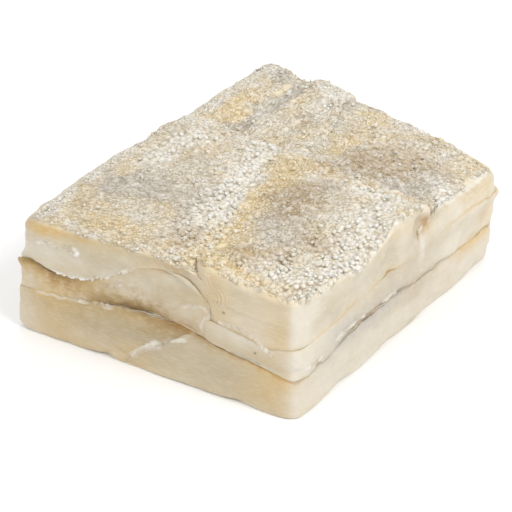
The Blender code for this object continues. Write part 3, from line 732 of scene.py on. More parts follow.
# Colours that follow a seam: stains, and painted shade under lips, in torn gaps and below overhanging pieces, given by
# the dark brown and in part by the skin colour. For each piece (edge, face, colour, place along, spread along, reach,
# strength).
SEAM_MARKS = {
    "top_front_left": [("low", "front", "WHITE_FLESH", -44, 30, 1.6, 0.7), ("low", "front", "SKIN", -64, 9, 0.6, 1.0)],
    "top_front_right": [
        ("low", "side", "HONEY", -84, 6, 1.4, 0.6), ("low", "side", "HONEY", -64, 8, 1.3, 0.6), ("low", "front", "HONEY", 48, 20, 0.7, 0.4),
        ("low", "side", "HONEY", -26, 12, 1.4, 0.6), ("low", "front", "UMBER", 50, 20, 0.7, 0.8), ("low", "side", "RUST", -26, 8, 0.35, 0.5),
    ],
    "top_back_right": [("low", "side", "HONEY", 52, 24, 1.3, 0.7), ("low", "side", "RUST", 66, 12, 0.5, 0.7)],
    "middle_left": [
        # Painted shade on the next two lines: the dark brown, the skin colour and the broad umber under the top piece's
        # lip and above the bottom seam. The honey, rust and white flesh are the flesh's own colours.
        ("high", "front", "HONEY", -58, 19, 9.0, 1.0), ("high", "front", "DUSK", -57, 13, 5.5, 1.0), ("high", "front", "SKIN", -62, 10, 1.2, 0.9),
        ("low", "front", "UMBER", -10, 20, 9.0, 0.9), ("low", "front", "DUSK", -14, 16, 5.0, 1.0), ("low", "front", "SKIN", -16, 12, 1.8, 0.7), ("low", "front", "RUST", 15, 9, 2.0, 0.9),
        ("high", "front", "RUST", 8, 8, 1.2, 0.5), ("low", "front", "WHITE_FLESH", 16, 8, 4.0, 0.3),
    ],
    "middle_right": [
        ("low", "front", "WHITE_FLESH", 50, 30, 1.2, 0.6), ("high", "front", "WHITE_FLESH", 50, 14, 2.5, 0.6), ("high", "front", "UMBER", 55, 12, 0.35, 0.7),
        # The skin colour along the lower seam on the right side is the dark skin between the layers, laid darker in the
        # seam's torn gaps as painted shade.
        ("low", "side", "SKIN", -86, 6, 1.5, 1.0), ("low", "side", "SKIN", -60, 8, 1.7, 1.0), ("low", "side", "SKIN", -40, 11, 2.0, 1.0),
        ("low", "side", "RUST", -50, 7, 0.8, 0.8), ("low", "side", "SKIN", -16, 7, 1.5, 1.0), ("low", "side", "SKIN", 10, 6, 1.6, 1.0),
        ("low", "side", "SKIN", 21, 3, 1.0, 1.0), ("low", "side", "SKIN", 42, 8, 0.6, 0.9), ("high", "side", "HONEY", -68, 6, 1.0, 0.5),
        ("low", "side", "HONEY", 66, 14, 1.2, 0.6), ("high", "side", "HONEY", 60, 22, 1.0, 0.5),
    ],
    "bottom_left": [
        ("high", "front", "UMBER", -46, 26, 8.0, 0.55), ("high", "front", "HONEY", -60, 8, 1.5, 0.8), ("high", "front", "UMBER", 2, 20, 10.0, 0.9), ("high", "front", "DUSK", -4, 12, 3.5, 0.5), ("high", "front", "SKIN", 2, 14, 0.5, 0.9),
        ("high", "front", "DUSK", 15, 9, 6.0, 1.0), ("high", "front", "RUST", 18, 5, 1.5, 0.9),
    ],
    "bottom_right": [
        ("high", "front", "DUSK", 24, 4, 2.5, 0.8),
        ("high", "front", "RUST", 40, 34, 1.2, 1.0), ("high", "front", "HONEY", 56, 20, 3.0, 0.5), ("high", "front", "SKIN", 34, 16, 0.6, 0.9),
        ("high", "side", "LILAC", -45, 34, 3.5, 0.7), ("high", "side", "SKIN", -44, 18, 0.6, 0.9), ("high", "side", "HONEY", 66, 18, 2.4, 0.7),
        ("high", "side", "RUST", -104, 8, 0.6, 0.7), ("high", "side", "SKIN", 12, 12, 0.6, 0.9), ("high", "front", "SKIN", 78, 4, 0.35, 0.7),
    ],
}

# Lines on the front: (kind, half width, strength, points (x, z)). "flake" lines raise the flesh on one side.
FRONT_LINES = [
    ("salt", 1.1, 0.75, [(16, 23), (8, 20.5), (-6, 13), (-13, 7)]),
    ("salt", 1.2, 0.4, [(4, 17), (-6, 11), (-12, 6)]),
    ("salt", 0.35, 0.5, [(9, 38), (13, 39.5), (22, 42.5), (26.7, 43), (29.4, 41.5)]),
    ("salt", 0.35, 0.55, [(30.8, 40.6), (26.6, 38), (25.2, 35.4), (25.4, 32), (26.5, 30.5)]),
    ("salt", 1.7, 0.8, [(-66, 51.5), (-58, 52.5), (-50, 53), (-44, 52)]),
    ("salt", 1.0, 0.8, [(-30, 39), (-22, 41), (-18, 43)]),
    ("salt", 0.9, 0.6, [(36, 40), (48, 39), (58, 35), (64, 32)]),
    ("flake", 3.0, 0.9, [(22, 64), (25.3, 57.4), (27, 52.6), (32, 51.6), (36.4, 50), (47, 47.7), (59, 47)]),
    ("flake", 4.0, -0.8, [(2, 36), (9, 37.5), (13, 39.3), (22, 42.8), (27, 43.2), (30, 41)]),
    ("flake", 3.0, 0.6, [(-76, 33), (-50, 30.5), (-30, 33)]),
    ("flake", 3.0, 0.6, [(-10, 22), (20, 12), (50, 3)]),
    ("flake", 4.0, 0.5, [(-66, 20), (-40, 16), (-22, 8)]),
    ("pit", 0.5, 1.0, [(37.5, 45.4), (38, 45.2)]),
    ("pit", 0.5, 1.0, [(55, 30), (55.4, 29.9)]),
]


SIDE_LINES = [
    ("salt", 0.6, 0.8, [(-98, 25.2), (-92, 24.5), (-84, 25.0)]),
    ("salt", 0.9, 0.8, [(-72, 28.4), (-66, 29.6), (-56, 30.2), (-48, 28.6)]),
    ("salt", 0.7, 0.8, [(-32, 27.6), (-26, 28.0), (-20, 27.2)]),
    ("salt", 0.6, 0.8, [(3, 28), (10, 28), (17, 27.5)]),
]


def line_distance(place, height, points):
    """Distance of places on a cut side from a broken line, and whether they lie above it (1) or not (-1)."""
    away, above = np.full(len(place), 99.0), np.zeros(len(place))
    for (x0, z0), (x1, z1) in zip(points, points[1:]):
        run = np.array([x1 - x0, z1 - z0])
        share = np.clip(((place - x0) * run[0] + (height - z0) * run[1]) / (run @ run), 0, 1)
        distance = np.hypot(place - x0 - share * run[0], height - z0 - share * run[1])
        side = np.sign((height - z0) * run[0] - (place - x0) * run[1])
        above = np.where(distance < away, side, above)
        away = np.minimum(away, distance)
    return away, above


def outward(points, normals):
    """How far places belong to the front, the right, the back and the left face of the block: they lie near
    the outline and face outwards."""
    x, y, _ = points.T
    return (
        ramp(-normals[:, 1], 0.2, 0.6) * ramp(-y, 97.0, 101.0),
        ramp(normals[:, 0], 0.2, 0.6) * ramp(x, 69.0, 73.0),
        ramp(normals[:, 1], 0.2, 0.6) * ramp(y + 0.19 * (x + 20.0), 87.0, 91.0),
        ramp(-normals[:, 0], 0.2, 0.6) * ramp(-x, 66.0, 70.0),
    )


def flesh_colour(points, normals, above, below, depth, salted_edge, node_name):
    """The bare flesh's colour: cream, painted whiter on the sides that look along X as painted light, clouded with
    white and ash, stained honey towards the seams, white with salt on some edges, with the front's and the right side's
    own stains, painted shade in the right side's pocket, and the seams' stains and painted shade."""
    x, y, z = points.T
    cloud = noise(points, np.array([26.0, 26.0, 9.0]), 60) + 0.5 * noise(points, np.array([9.0, 9.0, 4.0]), 61)
    # Painted light: faces that look along X, as the lit right side does, are painted whiter than the front.
    colour = mixed(np.tile(CREAM, (len(points), 1)), WHITE_FLESH, 0.55 * ramp(np.abs(normals[:, 0]), 0.3, 0.8))
    colour = mixed(colour, WHITE_FLESH, 0.45 * ramp(cloud, 0.1, 1.0))
    colour = mixed(colour, ASH, 0.4 * ramp(-cloud, 0.1, 1.0))
    seam = np.exp(-np.clip(np.minimum(above, below), 0, 50) / 1.3)
    stained = ramp(noise(points, np.array([14.0, 14.0, 30.0]), 62), -0.1, 0.7)
    colour = mixed(colour, HONEY, 0.5 * seam * stained * (1 - 0.6 * outward(points, normals)[1]))
    torn = points + 1.2 * np.column_stack([noise(points, 4.0, 63 + k) for k in range(3)])
    front, side, back, left = outward(points, normals)
    for marks, along, facing in (
        (FRONT_STAINS, torn[:, 0], front),
        (SIDE_MARKS, torn[:, 1], side),
        (FRONT_STAINS, -torn[:, 0], back),
        (SIDE_MARKS, -torn[:, 1], left),
    ):
        for mark_colour, spots in marks:
            colour = mixed(colour, mark_colour, facing * patches(along, torn[:, 2], spots))
    ragged = 1 + 0.5 * noise(points, 3.0, 68) + 0.35 * noise(points, 1.3, 69)
    for edge, face, mark_colour, at, spread, reach, strength in SEAM_MARKS.get(node_name, []):
        away = np.clip(above if edge == "low" else below, 0, 60)
        along, facing = (torn[:, 0], front) if face == "front" else (torn[:, 1], side)
        line = np.exp(-((away / (reach * np.maximum(ragged, 0.2))) ** 1.5)) * np.exp(-0.5 * ((along - at) / spread) ** 2)
        colour = mixed(colour, SEAM_MARK_COLOURS[mark_colour], strength * facing * line)
    for kind, half_width, strength, line in FRONT_LINES:
        if kind == "pit":
            away, _ = line_distance(x, z, line)
            colour = mixed(colour, SKIN, 0.8 * strength * front * np.exp(-((away / half_width) ** 2)))
    salt = salted_edge * ramp(noise(points, np.array([6.0, 6.0, 20.0]), 66), -0.5, 0.4)
    return mixed(colour, 1.08 * SALT, salt)


# ---------------------------------------------------------------- relief of the cut sides

# Swells and hollows of the cut sides: (place along, height, spread along, spread up, how far out).
FRONT_SWELLS = [
    (-78, 38.5, 6, 2.6, 2.2), (-52, 34.0, 16, 3.0, -1.2), (-16, 32.5, 18, 1.8, -1.3), (-2, 48, 12, 5, 0.5),
    (-40, 52, 22, 5, 0.5), (45, 30, 18, 3.5, 0.9), (55, 24.5, 22, 1.6, -1.2), (34, 50, 6, 9, 0.6),
    (-40, 14, 30, 7, 0.8), (40, 12, 20, 6, 0.7), (-13, 1, 5, 3, -1.5), (51, 1, 4, 3, -1.2), (20, 33, 6, 2.5, -0.8),
]
SIDE_SWELLS = [
    (-26, 50, 3.5, 9, -2.2), (-16, 56, 7, 7, 1.2), (-1, 56, 4.0, 4.5, -3.6), (5, 52, 3.5, 4, -1.6), (-65, 52, 20, 7, 0.7),
    (40, 44, 14, 4, 0.8), (64, 42, 12, 6, 0.6), (-60, 33, 24, 4, 0.6), (20, 33, 20, 4, 0.8), (-50, 12, 30, 6, 0.8),
    (20, 22.2, 6, 1.6, -2.2), (30, 12, 26, 6, 0.7), (-40, 25.6, 22, 1.6, -1.0), (70, 20, 12, 2.0, -0.6),
]


CREASE_SWELLS = [(19, 45, 7, 11, -1.8), (16, 58, 6, 4, -1.0)]  # only left of the front crease


def flesh_relief(points, normals, left_of_crease):
    """How far the cut sides stand out, in mm: named swells, mirrored on the two hidden sides, and waves
    of the flesh, long along the piece and short across."""
    x, y, z = points.T
    out = 0.0
    faces = outward(points, normals)
    sides = (FRONT_SWELLS, x), (SIDE_SWELLS, y), (FRONT_SWELLS, -x), (SIDE_SWELLS, -y)
    for (swells, along), facing in zip(sides, faces):
        out = out + facing * patches(along, z, swells)
    if left_of_crease:
        out = out + faces[0] * patches(x, z, CREASE_SWELLS)
    for kind, fade, height, line in FRONT_LINES:
        if kind == "flake":
            away, above = line_distance(x + 0.6 * noise(points, 4.0, 75), z + 0.6 * noise(points, 4.0, 76), line)
            out = out + faces[0] * height * ramp(above * away, -0.5, 0.5) * np.exp(-away / fade)
    if not left_of_crease:
        away, _ = line_distance(x, z, [(21, 68), (25, 57), (27, 52.6), (32, 51)])
        out = out + faces[0] * 0.3 * np.sin(2 * np.pi * away / 1.8) * np.exp(-(((away - 3) / 5.5) ** 2)) * ramp(z, 44, 52)
    slanted = points + np.column_stack([0.5 * z, 0.5 * z, 0 * z])
    waves = 0.55 * noise(points, np.array([22.0, 22.0, 7.0]), 70)
    waves = waves + 0.28 * noise(slanted, np.array([7.0, 7.0, 3.5]), 71)
    waves = waves + 0.13 * noise(slanted, np.array([2.2, 2.2, 5.0]), 72)
    return out + waves * np.max(faces, axis=0)


# Which edges carry salt lumps on the front: (place along, half length, reach, strength).
SALTED_LOW = {"top_front_left": [(-36, 26, 1.5, 1.0)]}
SALTED_HIGH = {"bottom_left": [(-56, 24, 1.1, 0.45), (-36, 15, 1.6, 0.95), (-8, 16, 0.6, 0.35)], "bottom_right": [(30, 5, 0.6, 0.4)]}


def lumps(points, size, seed):
    """Salt lumps in space: the height of the tallest ball over each point, on a jittered cubic lattice."""
    cell = np.floor(points / size)
    height = np.zeros(len(points))
    for offset in np.ndindex(3, 3, 3):
        near = (cell + np.array(offset) - 1).T
        centre = [(c + 0.5 + 0.7 * (chance(near, seed + k) - 0.5)) * size for k, c in enumerate(near)]
        radius = size * (0.42 + 0.25 * chance(near, seed + 3))
        away = sum((points[:, k] - centre[k]) ** 2 for k in range(3))
        height = np.maximum(height, np.sqrt(np.clip(1 - away / radius**2, 0, 1)))
    return height


# ---------------------------------------------------------------- materials


class Shade:
    """A socket of a material's nodes. Arithmetic signs add Math nodes and give the result's socket."""

    def __init__(self, tree, socket):
        self.tree, self.socket = tree, socket

    def math(self, operation, *values, clamp=False):
        return node(self.tree, "ShaderNodeMath", {"operation": operation, "use_clamp": clamp}, dict(enumerate(values)))

    def __add__(self, other):
        return self.math("ADD", self, other)

    def __sub__(self, other):
        return self.math("SUBTRACT", self, other)

    def __rsub__(self, other):
        return self.math("SUBTRACT", other, self)

    def __mul__(self, other):
        return self.math("MULTIPLY", self, other)

    __radd__, __rmul__ = __add__, __mul__

    def ramp(self, start, end, low=0.0, high=1.0):
        """low up to start and high from end on, with a smooth step between."""
        values = {0: self, 1: start, 2: end, 3: low, 4: high}
        return node(self.tree, "ShaderNodeMapRange", {"interpolation_type": "SMOOTHSTEP"}, values)


def node(tree, kind, settings=None, values=None, output=0):
    """Adds a node: settings first, then its sockets, by name or number, as links or plain values."""
    new = tree.nodes.new(kind)
    for key, value in (settings or {}).items():
        setattr(new, key, value)
    for key, value in (values or {}).items():
        if isinstance(value, Shade):
            tree.links.new(value.socket, new.inputs[key])
        else:
            new.inputs[key].default_value = value
    return Shade(tree, new.outputs[output])


def blend(tree, kind, factor, first, second):
    """A colour mix of a blend kind."""
    values = {"Factor": factor, 6: first, 7: second}
    return node(tree, "ShaderNodeMix", {"data_type": "RGBA", "blend_type": kind}, values, output=2)


def texture(tree, kind, place, scale, detail=2.0, rough=0.55, output=0, **settings):
    values = {"Vector": place, "Scale": scale}
    if kind == "ShaderNodeTexNoise":
        values.update({"Detail": detail, "Roughness": rough})
    return node(tree, kind, settings, values, output)


def stretched(tree, place, turn, scale):
    """Places turned and scaled, for a pattern with long grain."""
    return node(tree, "ShaderNodeMapping", {"vector_type": "POINT"}, {"Vector": place, "Rotation": turn, "Scale": scale})


def material(name, gloss, subsurface):
    """A new material's tree, its shader and the place on the object."""
    made = bpy.data.materials.new(name)
    made.use_nodes = True
    tree = made.node_tree
    shader = tree.nodes["Principled BSDF"]
    shader.inputs["Subsurface Weight"].default_value = subsurface
    shader.inputs["Subsurface Radius"].default_value = (1.0, 0.8, 0.55)
    shader.inputs["Subsurface Scale"].default_value = 0.0022
    shader.inputs["Specular IOR Level"].default_value = gloss
    place = node(tree, "ShaderNodeTexCoord", output=3)
    return made, tree, shader, place


def link(tree, shader, name, value):
    tree.links.new(value.socket, shader.inputs[name])


def cod_material():
    """Flesh and crust in one. Attributes: tint, the colour; crusted, how salted; inside, how far inside a
    bead; share, the bead's own number; coarse, where beads are larger than the small grains; deep, how deep between
    large beads; grains, the place for the small grains in mm. Bead rims carry a painted highlight ring, and the gaps
    between beads and grains are darkened as painted shade. Flesh is satin with faint slanting fibres, salt is duller."""
    made, tree, shader, place = material("salted_cod", 0.35, 0.4)
    attribute = {
        name: node(tree, "ShaderNodeAttribute", {"attribute_name": name}, output=output)
        for name, output in (("tint", 0), ("crusted", 2), ("inside", 2), ("share", 2), ("coarse", 2), ("deep", 2), ("grains", 1))
    }
    tint, crusted, inside, share, coarse, deep, grains = attribute.values()
    fibre_place = stretched(tree, place, (0.0, np.radians(35), 0.0), (260.0, 260.0, 1500.0))
    fibres = texture(tree, "ShaderNodeTexNoise", fibre_place, 1.0, 3.0)
    clouds = texture(tree, "ShaderNodeTexNoise", place, 90.0, 3.0)
    shift = texture(tree, "ShaderNodeTexNoise", grains, 0.45, output=1)
    warped = node(tree, "ShaderNodeVectorMath", {"operation": "MULTIPLY_ADD"}, {0: shift, 1: (0.9,) * 3, 2: grains})
    near = texture(tree, "ShaderNodeTexVoronoi", warped, 0.78, voronoi_dimensions="2D")
    own = texture(tree, "ShaderNodeTexVoronoi", warped, 0.78, output=1, voronoi_dimensions="2D")
    border = texture(tree, "ShaderNodeTexVoronoi", warped, 0.78, voronoi_dimensions="2D", feature="DISTANCE_TO_EDGE")
    own = node(tree, "ShaderNodeSeparateColor", {}, {"Color": own})
    within = border.ramp(0.01, 0.13)
    small = 1 - coarse * 0.78
    # Crust: beads of differing whiteness, each with a painted highlight ring, and darker, warmer gaps. These gaps are
    # the golden flesh between the beads, darkened as painted shade, most where large beads leave deep gaps. The same
    # again for the small grains, whose borders are painted shade.
    gap = blend(tree, "MULTIPLY", 1.0, tint, blend(tree, "MIX", deep, (0.76, 0.66, 0.49, 1), (0.56, 0.44, 0.27, 1)))
    highlight_ring = inside * (1 - inside) * 0.5
    bead = blend(tree, "MIX", share * 0.35 + highlight_ring, tint, (*srgb(233, 232, 229), 1))
    coarse_mix = blend(tree, "MIX", (1 - inside) * coarse, bead, gap)
    toned = blend(tree, "MULTIPLY", small, coarse_mix, blend(tree, "MIX", own, (0.66, 0.62, 0.56, 1), (1.20, 1.20, 1.21, 1)))
    crust_with_gap_shade = blend(tree, "MULTIPLY", (1 - within) * small, toned, (0.66, 0.56, 0.40, 1))
    # Flesh: faint pale fibres and soft clouds.
    pale = blend(tree, "MIX", fibres.ramp(0.45, 0.75) * 0.16, tint, (*srgb(240, 234, 220), 1))
    flesh = blend(tree, "MULTIPLY", clouds.ramp(0.4, 0.7) * 0.25, pale, (0.86, 0.81, 0.70, 1))
    link(tree, shader, "Base Color", blend(tree, "MIX", crusted, flesh, crust_with_gap_shade))
    flesh_rough = 0.40 + fibres * 0.12 + clouds * 0.08
    link(tree, shader, "Roughness", flesh_rough + crusted * (0.52 - flesh_rough + share * -0.16))
    dome = (1 - near * near * 1.6) * own * 0.0008 + own * 0.0003
    height = (fibres * 0.00014 + clouds * 0.0002) * (1 - crusted) + dome * small * crusted
    bumped = node(tree, "ShaderNodeBump", {}, {"Strength": 0.9, "Distance": 1.0, "Height": height})
    link(tree, shader, "Normal", bumped)
    return made


# ---------------------------------------------------------------- building


def add_mesh(name, points, faces, attributes, made, node_name=None):
    mesh = bpy.data.meshes.new(name)
    mesh.vertices.add(len(points))
    mesh.vertices.foreach_set("co", ((points - BLOCK_MIDDLE) * MM).astype(np.float32).ravel())
    mesh.loops.add(faces.size)
    mesh.loops.foreach_set("vertex_index", faces.astype(np.int32).ravel())
    mesh.polygons.add(len(faces))
    mesh.polygons.foreach_set("loop_start", np.arange(0, faces.size, faces.shape[1], dtype=np.int32))
    mesh.update(calc_edges=True)
    mesh.shade_smooth()
    for key, values in attributes.items():
        if key == "grains":
            layer = mesh.attributes.new(key, "FLOAT_VECTOR", "POINT")
            layer.data.foreach_set("vector", values.astype(np.float32).ravel())
        elif values.ndim == 2:
            layer = mesh.color_attributes.new(key, "FLOAT_COLOR", "POINT")
            layer.data.foreach_set("color", np.column_stack([values, np.ones(len(values))]).astype(np.float32).ravel())
        else:
            layer = mesh.attributes.new(key, "FLOAT", "POINT")
            layer.data.foreach_set("value", values.astype(np.float32))
    mesh.materials.append(made)
    mesh.validate()
    piece = bpy.data.objects.new(name, mesh)
    bpy.context.scene.collection.objects.link(piece)
    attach(piece, "root")
    if node_name:
        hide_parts(node_name)
    return piece


# How long the small grains are, and which way they lie.
LONG_GRAINS = {
    "top_front_left": (1.3, np.radians(33)),
    "top_front_right": (1.15, np.radians(90)),
    "top_back_left": (1.6, np.radians(93)),
    "top_back_right": (1.0, 0.0),
}


def build_piece(node_name, fillet, made):
    """One piece of fillet: its surface, moved out along its normals by crust or flesh relief."""
    points, faces, flat, depth, floor, roof = fillet.surface(STEP if fillet.crusted else STEP * 1.2)
    normals = normals_of(points, faces)
    x, y, z = points.T
    above, below = z - floor, roof - z
    front, side = outward(points, normals)[:2]
    salted = np.zeros(len(points))
    ragged = 0.8 + 0.5 * noise(points, 5.0, 81) + 0.4 * noise(points, 2.2, 82)
    for spot, spread, reach, strength in SALTED_LOW.get(node_name, []):
        line = strength * (1 - ramp(above, reach * ragged, reach * ragged + 0.7)) * front
        salted = np.maximum(salted, line * ramp(spread - np.abs(x - spot), 0, 8))
    for spot, spread, reach, strength in SALTED_HIGH.get(node_name, []):
        line = strength * (1 - ramp(below, reach * ragged, reach * ragged + 0.7)) * ramp(-normals[:, 1], -0.3, 0.3) * ramp(-y, 97, 101)
        salted = np.maximum(salted, line * ramp(spread - np.abs(x - spot), 0, 8))
    for kind, half_width, strength, line in FRONT_LINES:
        if kind == "salt":
            away, _ = line_distance(x + 0.7 * noise(points, 3.0, 83), z + 0.7 * noise(points, 3.0, 84), line)
            salted = np.maximum(salted, strength * front * (1 - ramp(away, half_width * ragged, half_width * ragged + 0.7)))
    for kind, half_width, strength, line in SIDE_LINES:
        if kind == "salt":
            away, _ = line_distance(y + 0.7 * noise(points, 3.0, 85), z + 0.7 * noise(points, 3.0, 86), line)
            salted = np.maximum(salted, strength * side * (1 - ramp(away, half_width * ragged, half_width * ragged + 0.7)))
    relief = flesh_relief(points, normals, node_name in ("middle_left", "top_front_left"))
    tint = flesh_colour(points, normals, above, below, depth, salted, node_name)
    crusted, inside, share, coarse, deep = np.zeros((5, len(points)))
    grains = np.column_stack([x + 0.7 * y, z, 0 * z])
    if fillet.crusted:
        top = ramp(6.0 - depth, 0, 4)
        raised, inside, share, cover, coarse, deep, long = crust(flat, depth, *LONG_GRAINS[node_name])
        grains = np.column_stack([long, 0 * z])
        crusted = top * ramp(cover, 0.0, 0.8)
        relief = relief * (1 - top) + raised * top
        rim_tint = mixed(mixed(tint, SMOOTH, 0.5 * np.ones(len(points))), SMOOTH, 1 - ramp(depth, 0, 1.5))
        left = outward(points, normals)[3]
        rim_tint = mixed(rim_tint, SALT, 0.8 * np.maximum(left, ramp(x, 72, 84) * ramp(y, 8, 20)))
        roof_tint = mixed(crust_colour(flat), rim_tint, 0.7 * ramp(1 - cover, 0.3, 1.0))
        tint = mixed(tint, roof_tint, top * ramp(5.0 - depth, 0, 3.5))
    ball = lumps(points, 2.3, 500)
    relief = relief + salted * (0.1 + 1.2 * ball)
    # The salt lumps are whiter on their tops and take the crust's gap colour between them, as painted shade.
    crusted, inside = np.maximum(crusted, 0.7 * salted), np.maximum(inside, salted * (0.3 + 0.7 * ramp(ball, 0.1, 0.7)))
    coarse, share = np.maximum(coarse, salted), np.maximum(share, 0.7 * salted)
    if fillet.floor is ground:
        relief = relief * ramp(z, 0.0, 1.5)
    points = points + normals * relief[:, None]
    points[:, 2] = np.maximum(points[:, 2], 0.0)
    attributes = {"tint": tint, "crusted": np.clip(crusted, 0, 1), "inside": inside, "share": share}
    attributes.update({"coarse": coarse, "deep": deep * crusted, "grains": grains})
    add_mesh(node_name + "_flesh", points, faces, attributes, made, node_name)
    on_top = np.flatnonzero(np.clip(crusted, 0, 1) * (salted < 0.1) > 0.95)
    return points[on_top], tint[on_top], coarse[on_top]


def ball_of_quads():
    """A cube of three points along each edge, its points drawn to a ball: 26 points and 48 triangles."""
    lattice = np.array([p for p in np.ndindex(3, 3, 3) if p != (1, 1, 1)]) - 1
    number = {tuple(p): k for k, p in enumerate(lattice)}
    faces = []
    for axis, sign in ((0, -1), (0, 1), (1, -1), (1, 1), (2, -1), (2, 1)):
        for u, v in np.ndindex(2, 2):
            loop = []
            for du, dv in ((0, 0), (1, 0), (1, 1), (0, 1))[::sign]:
                place = [0, 0, 0]
                place[axis], place[(axis + 1) % 3], place[(axis + 2) % 3] = sign, u + du - 1, v + dv - 1
                loop.append(number[tuple(place)])
            faces += [[loop[0], loop[1], loop[2]], [loop[0], loop[2], loop[3]]]
    points = lattice / np.linalg.norm(lattice, axis=1)[:, None]
    return points, np.array(faces), lattice


def loose_salt(name, places, tints, likely, count, sizes, roundness, seed, made):
    """Loose grains of one kind: balls (roundness 1) or cubes (0) at random points of the crust, each
    turned about a random axis, squashed a little and half sunk in."""
    order = np.argsort(chance([np.arange(len(places))], seed) / np.maximum(likely, 1e-3))[:count]
    ball, faces, lattice = ball_of_quads()
    shape = roundness * ball + (1 - roundness) * lattice * 0.8
    numbers = np.arange(count)
    draw = [chance([numbers, numbers * 0 + k], seed + 1) for k in range(8)]
    size = sizes[0] + (sizes[1] - sizes[0]) * draw[0] ** 2
    squash = np.stack([0.8 + 0.4 * draw[1], 0.8 + 0.4 * draw[2], 0.7 + 0.3 * draw[3]], axis=-1)
    angles = [2 * np.pi * d for d in draw[4:7]]
    turned = shape[None] * squash[:, None] * size[:, None, None] / 2
    for angle, (p, q) in zip(angles, ((0, 1), (1, 2), (0, 1))):
        cos, sin = np.cos(angle)[:, None], np.sin(angle)[:, None]
        first, second = turned[..., p].copy(), turned[..., q].copy()
        turned[..., p], turned[..., q] = cos * first - sin * second, sin * first + cos * second
    points = (turned + places[order][:, None] + np.array([0, 0, 0.15]) * size[:, None, None]).reshape(-1, 3)
    all_faces = (faces[None] + len(shape) * numbers[:, None, None]).reshape(-1, 3)
    each = lambda values: np.repeat(values, len(shape), axis=0)
    tint = each(mixed(tints[order], SALT, 0.1 + 0.4 * draw[7]))
    ones = np.ones(len(points))
    rise = (turned[..., 2] / size[:, None]).ravel()
    # Painted shade: each grain's lower part takes the crust's darker gap colour.
    attributes = {"tint": tint, "crusted": ones, "inside": ramp(rise, -0.3, 0.2), "share": each(draw[7])}
    attributes.update({"coarse": ones, "deep": 0 * ones, "grains": points[:, [0, 1, 2]]})
    add_mesh(name, points, all_faces, attributes, made, None)


def fillets():
    foot_seam = [BOTTOM_SEAM_FRONT, *BOTTOM_SEAM_LOW, BOTTOM_SEAM_BACK]
    high_seam = [outline_at(LOWER_SEAM)["front_seam"], *BOTTOM_SEAM_HIGH, BOTTOM_SEAM_BACK]
    starts = MIDDLE_SEAM_LOW, MIDDLE_SEAM_HIGH, MIDDLE_SEAM_RIGHT
    seam_low, seam_high, seam_right = ([*start, *MIDDLE_SEAM, MIDDLE_SEAM_BACK] for start in starts)
    bottom = list(zip(half_sides(0.0, foot_seam, 1.0), half_sides(LOWER_SEAM, high_seam, 1.0)))
    middle = list(zip(half_sides(LOWER_SEAM, seam_low, 6.0), half_sides(UPPER_SEAM, seam_high, 9.5, seam_right)))
    crown_crease = [outline_at(CROWN_LEVEL)["front_seam"], *FRONT_CREASE, MIDDLE]
    low, high = top_sides(UPPER_SEAM, [*LEANING_CREASE, MIDDLE]), top_sides(CROWN_LEVEL, crown_crease)

    def top(name, floor, roof, round_low, round_high, corners, drops):
        return Fillet(low[name], high[name], floor, roof, round_low, round_high, corners, drops, crusted=True)

    return {
        "bottom_left": Fillet(*bottom[0], ground, lower_seam, (1.0, 1, 1.5, 1.5), (0.9, 0.3, 1.0, 1.2), (1.2, 0.3, 0.3, 1.5)),
        "bottom_right": Fillet(*bottom[1], ground, lower_seam, (1.0, 0.9, 1.5, 1), (0.6, lambda x, y: 0.4 + 1.3 * gaps_of_lower_seam(x, y), 1, 0.3), (0.3, 2.0, 1.5, 0.3)),
        "middle_left": Fillet(
            *middle[0], lower_seam, upper_seam_left, (lambda x, y: 0.35 + 2.0 * bump(x, y, (-10, -106), (15, 12)), 0.3, 1.2, 1.2), (lambda x, y: 0.6 - 0.4 * bump(x, y, (6, -106), (16, 12)), 0.4, 1, 1.5), (1.2, 0.5, 0.3, 1.5)
        ),
        "middle_right": Fillet(
            *middle[1], lower_seam, upper_seam, (0.5, lambda x, y: 0.4 + 1.5 * gaps_of_lower_seam(x, y), 1, 1.5), (0.3, 0.12, 1, 1.0), (1.0, 2.8, 1.5, 0.3)
        ),
        "top_front_left": top(
            "top_front_left",
            upper_seam_left,
            roof_front_left,
            (lambda x, y: 0.7 - 0.5 * bump(x, y, (6, -106), (16, 12)), 0.3, 1, 1.2),
            (2.0, lambda x, y: 0.25 + 1.6 * front_end(x, y), 1.3, 6),
            (2.6, 0.5, 0.5, 1),
            (0, lambda x, y: 1.8 + 2.7 * front_end(x, y), 0.4, 1),
        ),
        "top_front_right": top(
            "top_front_right",
            upper_seam,
            roof_front_right,
            (0.3, 0.12, 1, lambda x, y: 0.3 + 1.0 * front_end(x, y)),
            (2.4, 2.2, 1.6, lambda x, y: 0.25 + 5.5 * front_end(x, y)),
            (3.5, 3.4, 0.9, 0.5),
            (0, 0, -1, lambda x, y: 2.1 - 2.1 * front_end(x, y)),
        ),
        "top_back_left": top(
            "top_back_left", upper_seam_left, roof_back_left, (1, 1, 1, 1.2), (0.4, 0.5, 4.5, 5), (0.5, 0.5, 0.8, 2), (2, 1.2, 0, 0)
        ),
        "top_back_right": top(
            "top_back_right", upper_seam, roof_back_right, (1, 0.3, 1, 1), (0.4, 6, 4.5, 0.5), (0.5, 0.5, 3, 0.5), (2.2, 2, 0, 0.4)
        ),
    }


# ---------------------------------------------------------------- stage


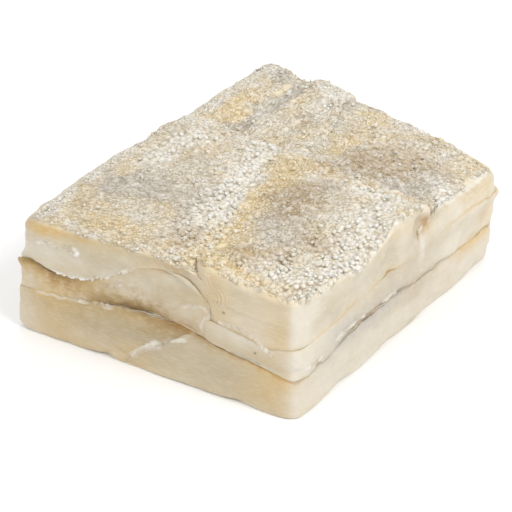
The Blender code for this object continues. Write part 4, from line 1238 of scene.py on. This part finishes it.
def add_stage():
    """A wide pale floor, a big soft light from the right and above, a weaker one from the left, and a
    bright surround."""
    plane = bpy.data.meshes.new("floor")
    plane.from_pydata([(-4, -4, 0), (4, -4, 0), (4, 4, 0), (-4, 4, 0)], [], [(0, 1, 2, 3)])
    floor = bpy.data.objects.new("floor", plane)
    pale = bpy.data.materials.new("pale_floor")
    pale.use_nodes = True
    pale.node_tree.nodes["Principled BSDF"].inputs["Base Color"].default_value = (0.95, 0.95, 0.95, 1)
    pale.node_tree.nodes["Principled BSDF"].inputs["Roughness"].default_value = 0.9
    plane.materials.append(pale)
    bpy.context.scene.collection.objects.link(floor)
    world = bpy.data.worlds.new("studio")
    world.use_nodes = True
    world.node_tree.nodes["Background"].inputs["Color"].default_value = (1.0, 1.0, 1.0, 1)
    world.node_tree.nodes["Background"].inputs["Strength"].default_value = 0.68
    bpy.context.scene.world = world
    for name, place, size, power in (
        ("key_light", (0.9, -0.15, 0.9), 0.6, 8.8),
        ("front_light", (-0.35, -1.1, 0.8), 0.9, 4.4),
        ("back_light", (-0.4, 0.9, 1.1), 0.8, 5.0),
    ):
        lamp = bpy.data.lights.new(name, "AREA")
        lamp.size, lamp.energy = size, power
        light = bpy.data.objects.new(name, lamp)
        light.location = place
        light.rotation_euler = (Vector((0, 0, 0.03)) - Vector(place)).to_track_quat("-Z", "Y").to_euler()
        bpy.context.scene.collection.objects.link(light)


def add_camera():
    """Looks from 33 degrees right of the front and 30 degrees above."""
    camera = bpy.data.objects.new("camera", bpy.data.cameras.new("camera"))
    azimuth, elevation, distance = np.radians(33.0), np.radians(30.0), 1.043
    back = Vector((np.sin(azimuth) * np.cos(elevation), -np.cos(azimuth) * np.cos(elevation), np.sin(elevation)))
    target = Vector((-0.0207 - BLOCK_MIDDLE[0] * MM, 0.0129 - BLOCK_MIDDLE[1] * MM, 0.0))
    camera.location = target + back * distance
    camera.rotation_mode = "QUATERNION"
    camera.rotation_quaternion = (-back).to_track_quat("-Z", "Y")
    camera.data.lens, camera.data.sensor_width = 140.6, 36.0
    camera.data.clip_start = 0.05
    bpy.context.scene.collection.objects.link(camera)
    bpy.context.scene.camera = camera


add_camera()
add_stage()
bpy.context.scene.view_settings.view_transform = "Standard"
cod = cod_material()
tops = [build_piece(node_name, fillet, cod) for node_name, fillet in fillets().items()][-4:]
places, tints, coarse = (np.concatenate(values) for values in zip(*tops))
loose_salt("salt_beads", places, tints, 0.02 + coarse * patches(*places.T[:2], LARGE), 420, (1.7, 3.0), 0.85, 900, cod)
loose_salt("salt_crystals", places, tints, np.ones(len(places)), 1500, (0.8, 1.6), 0.5, 950, cod)
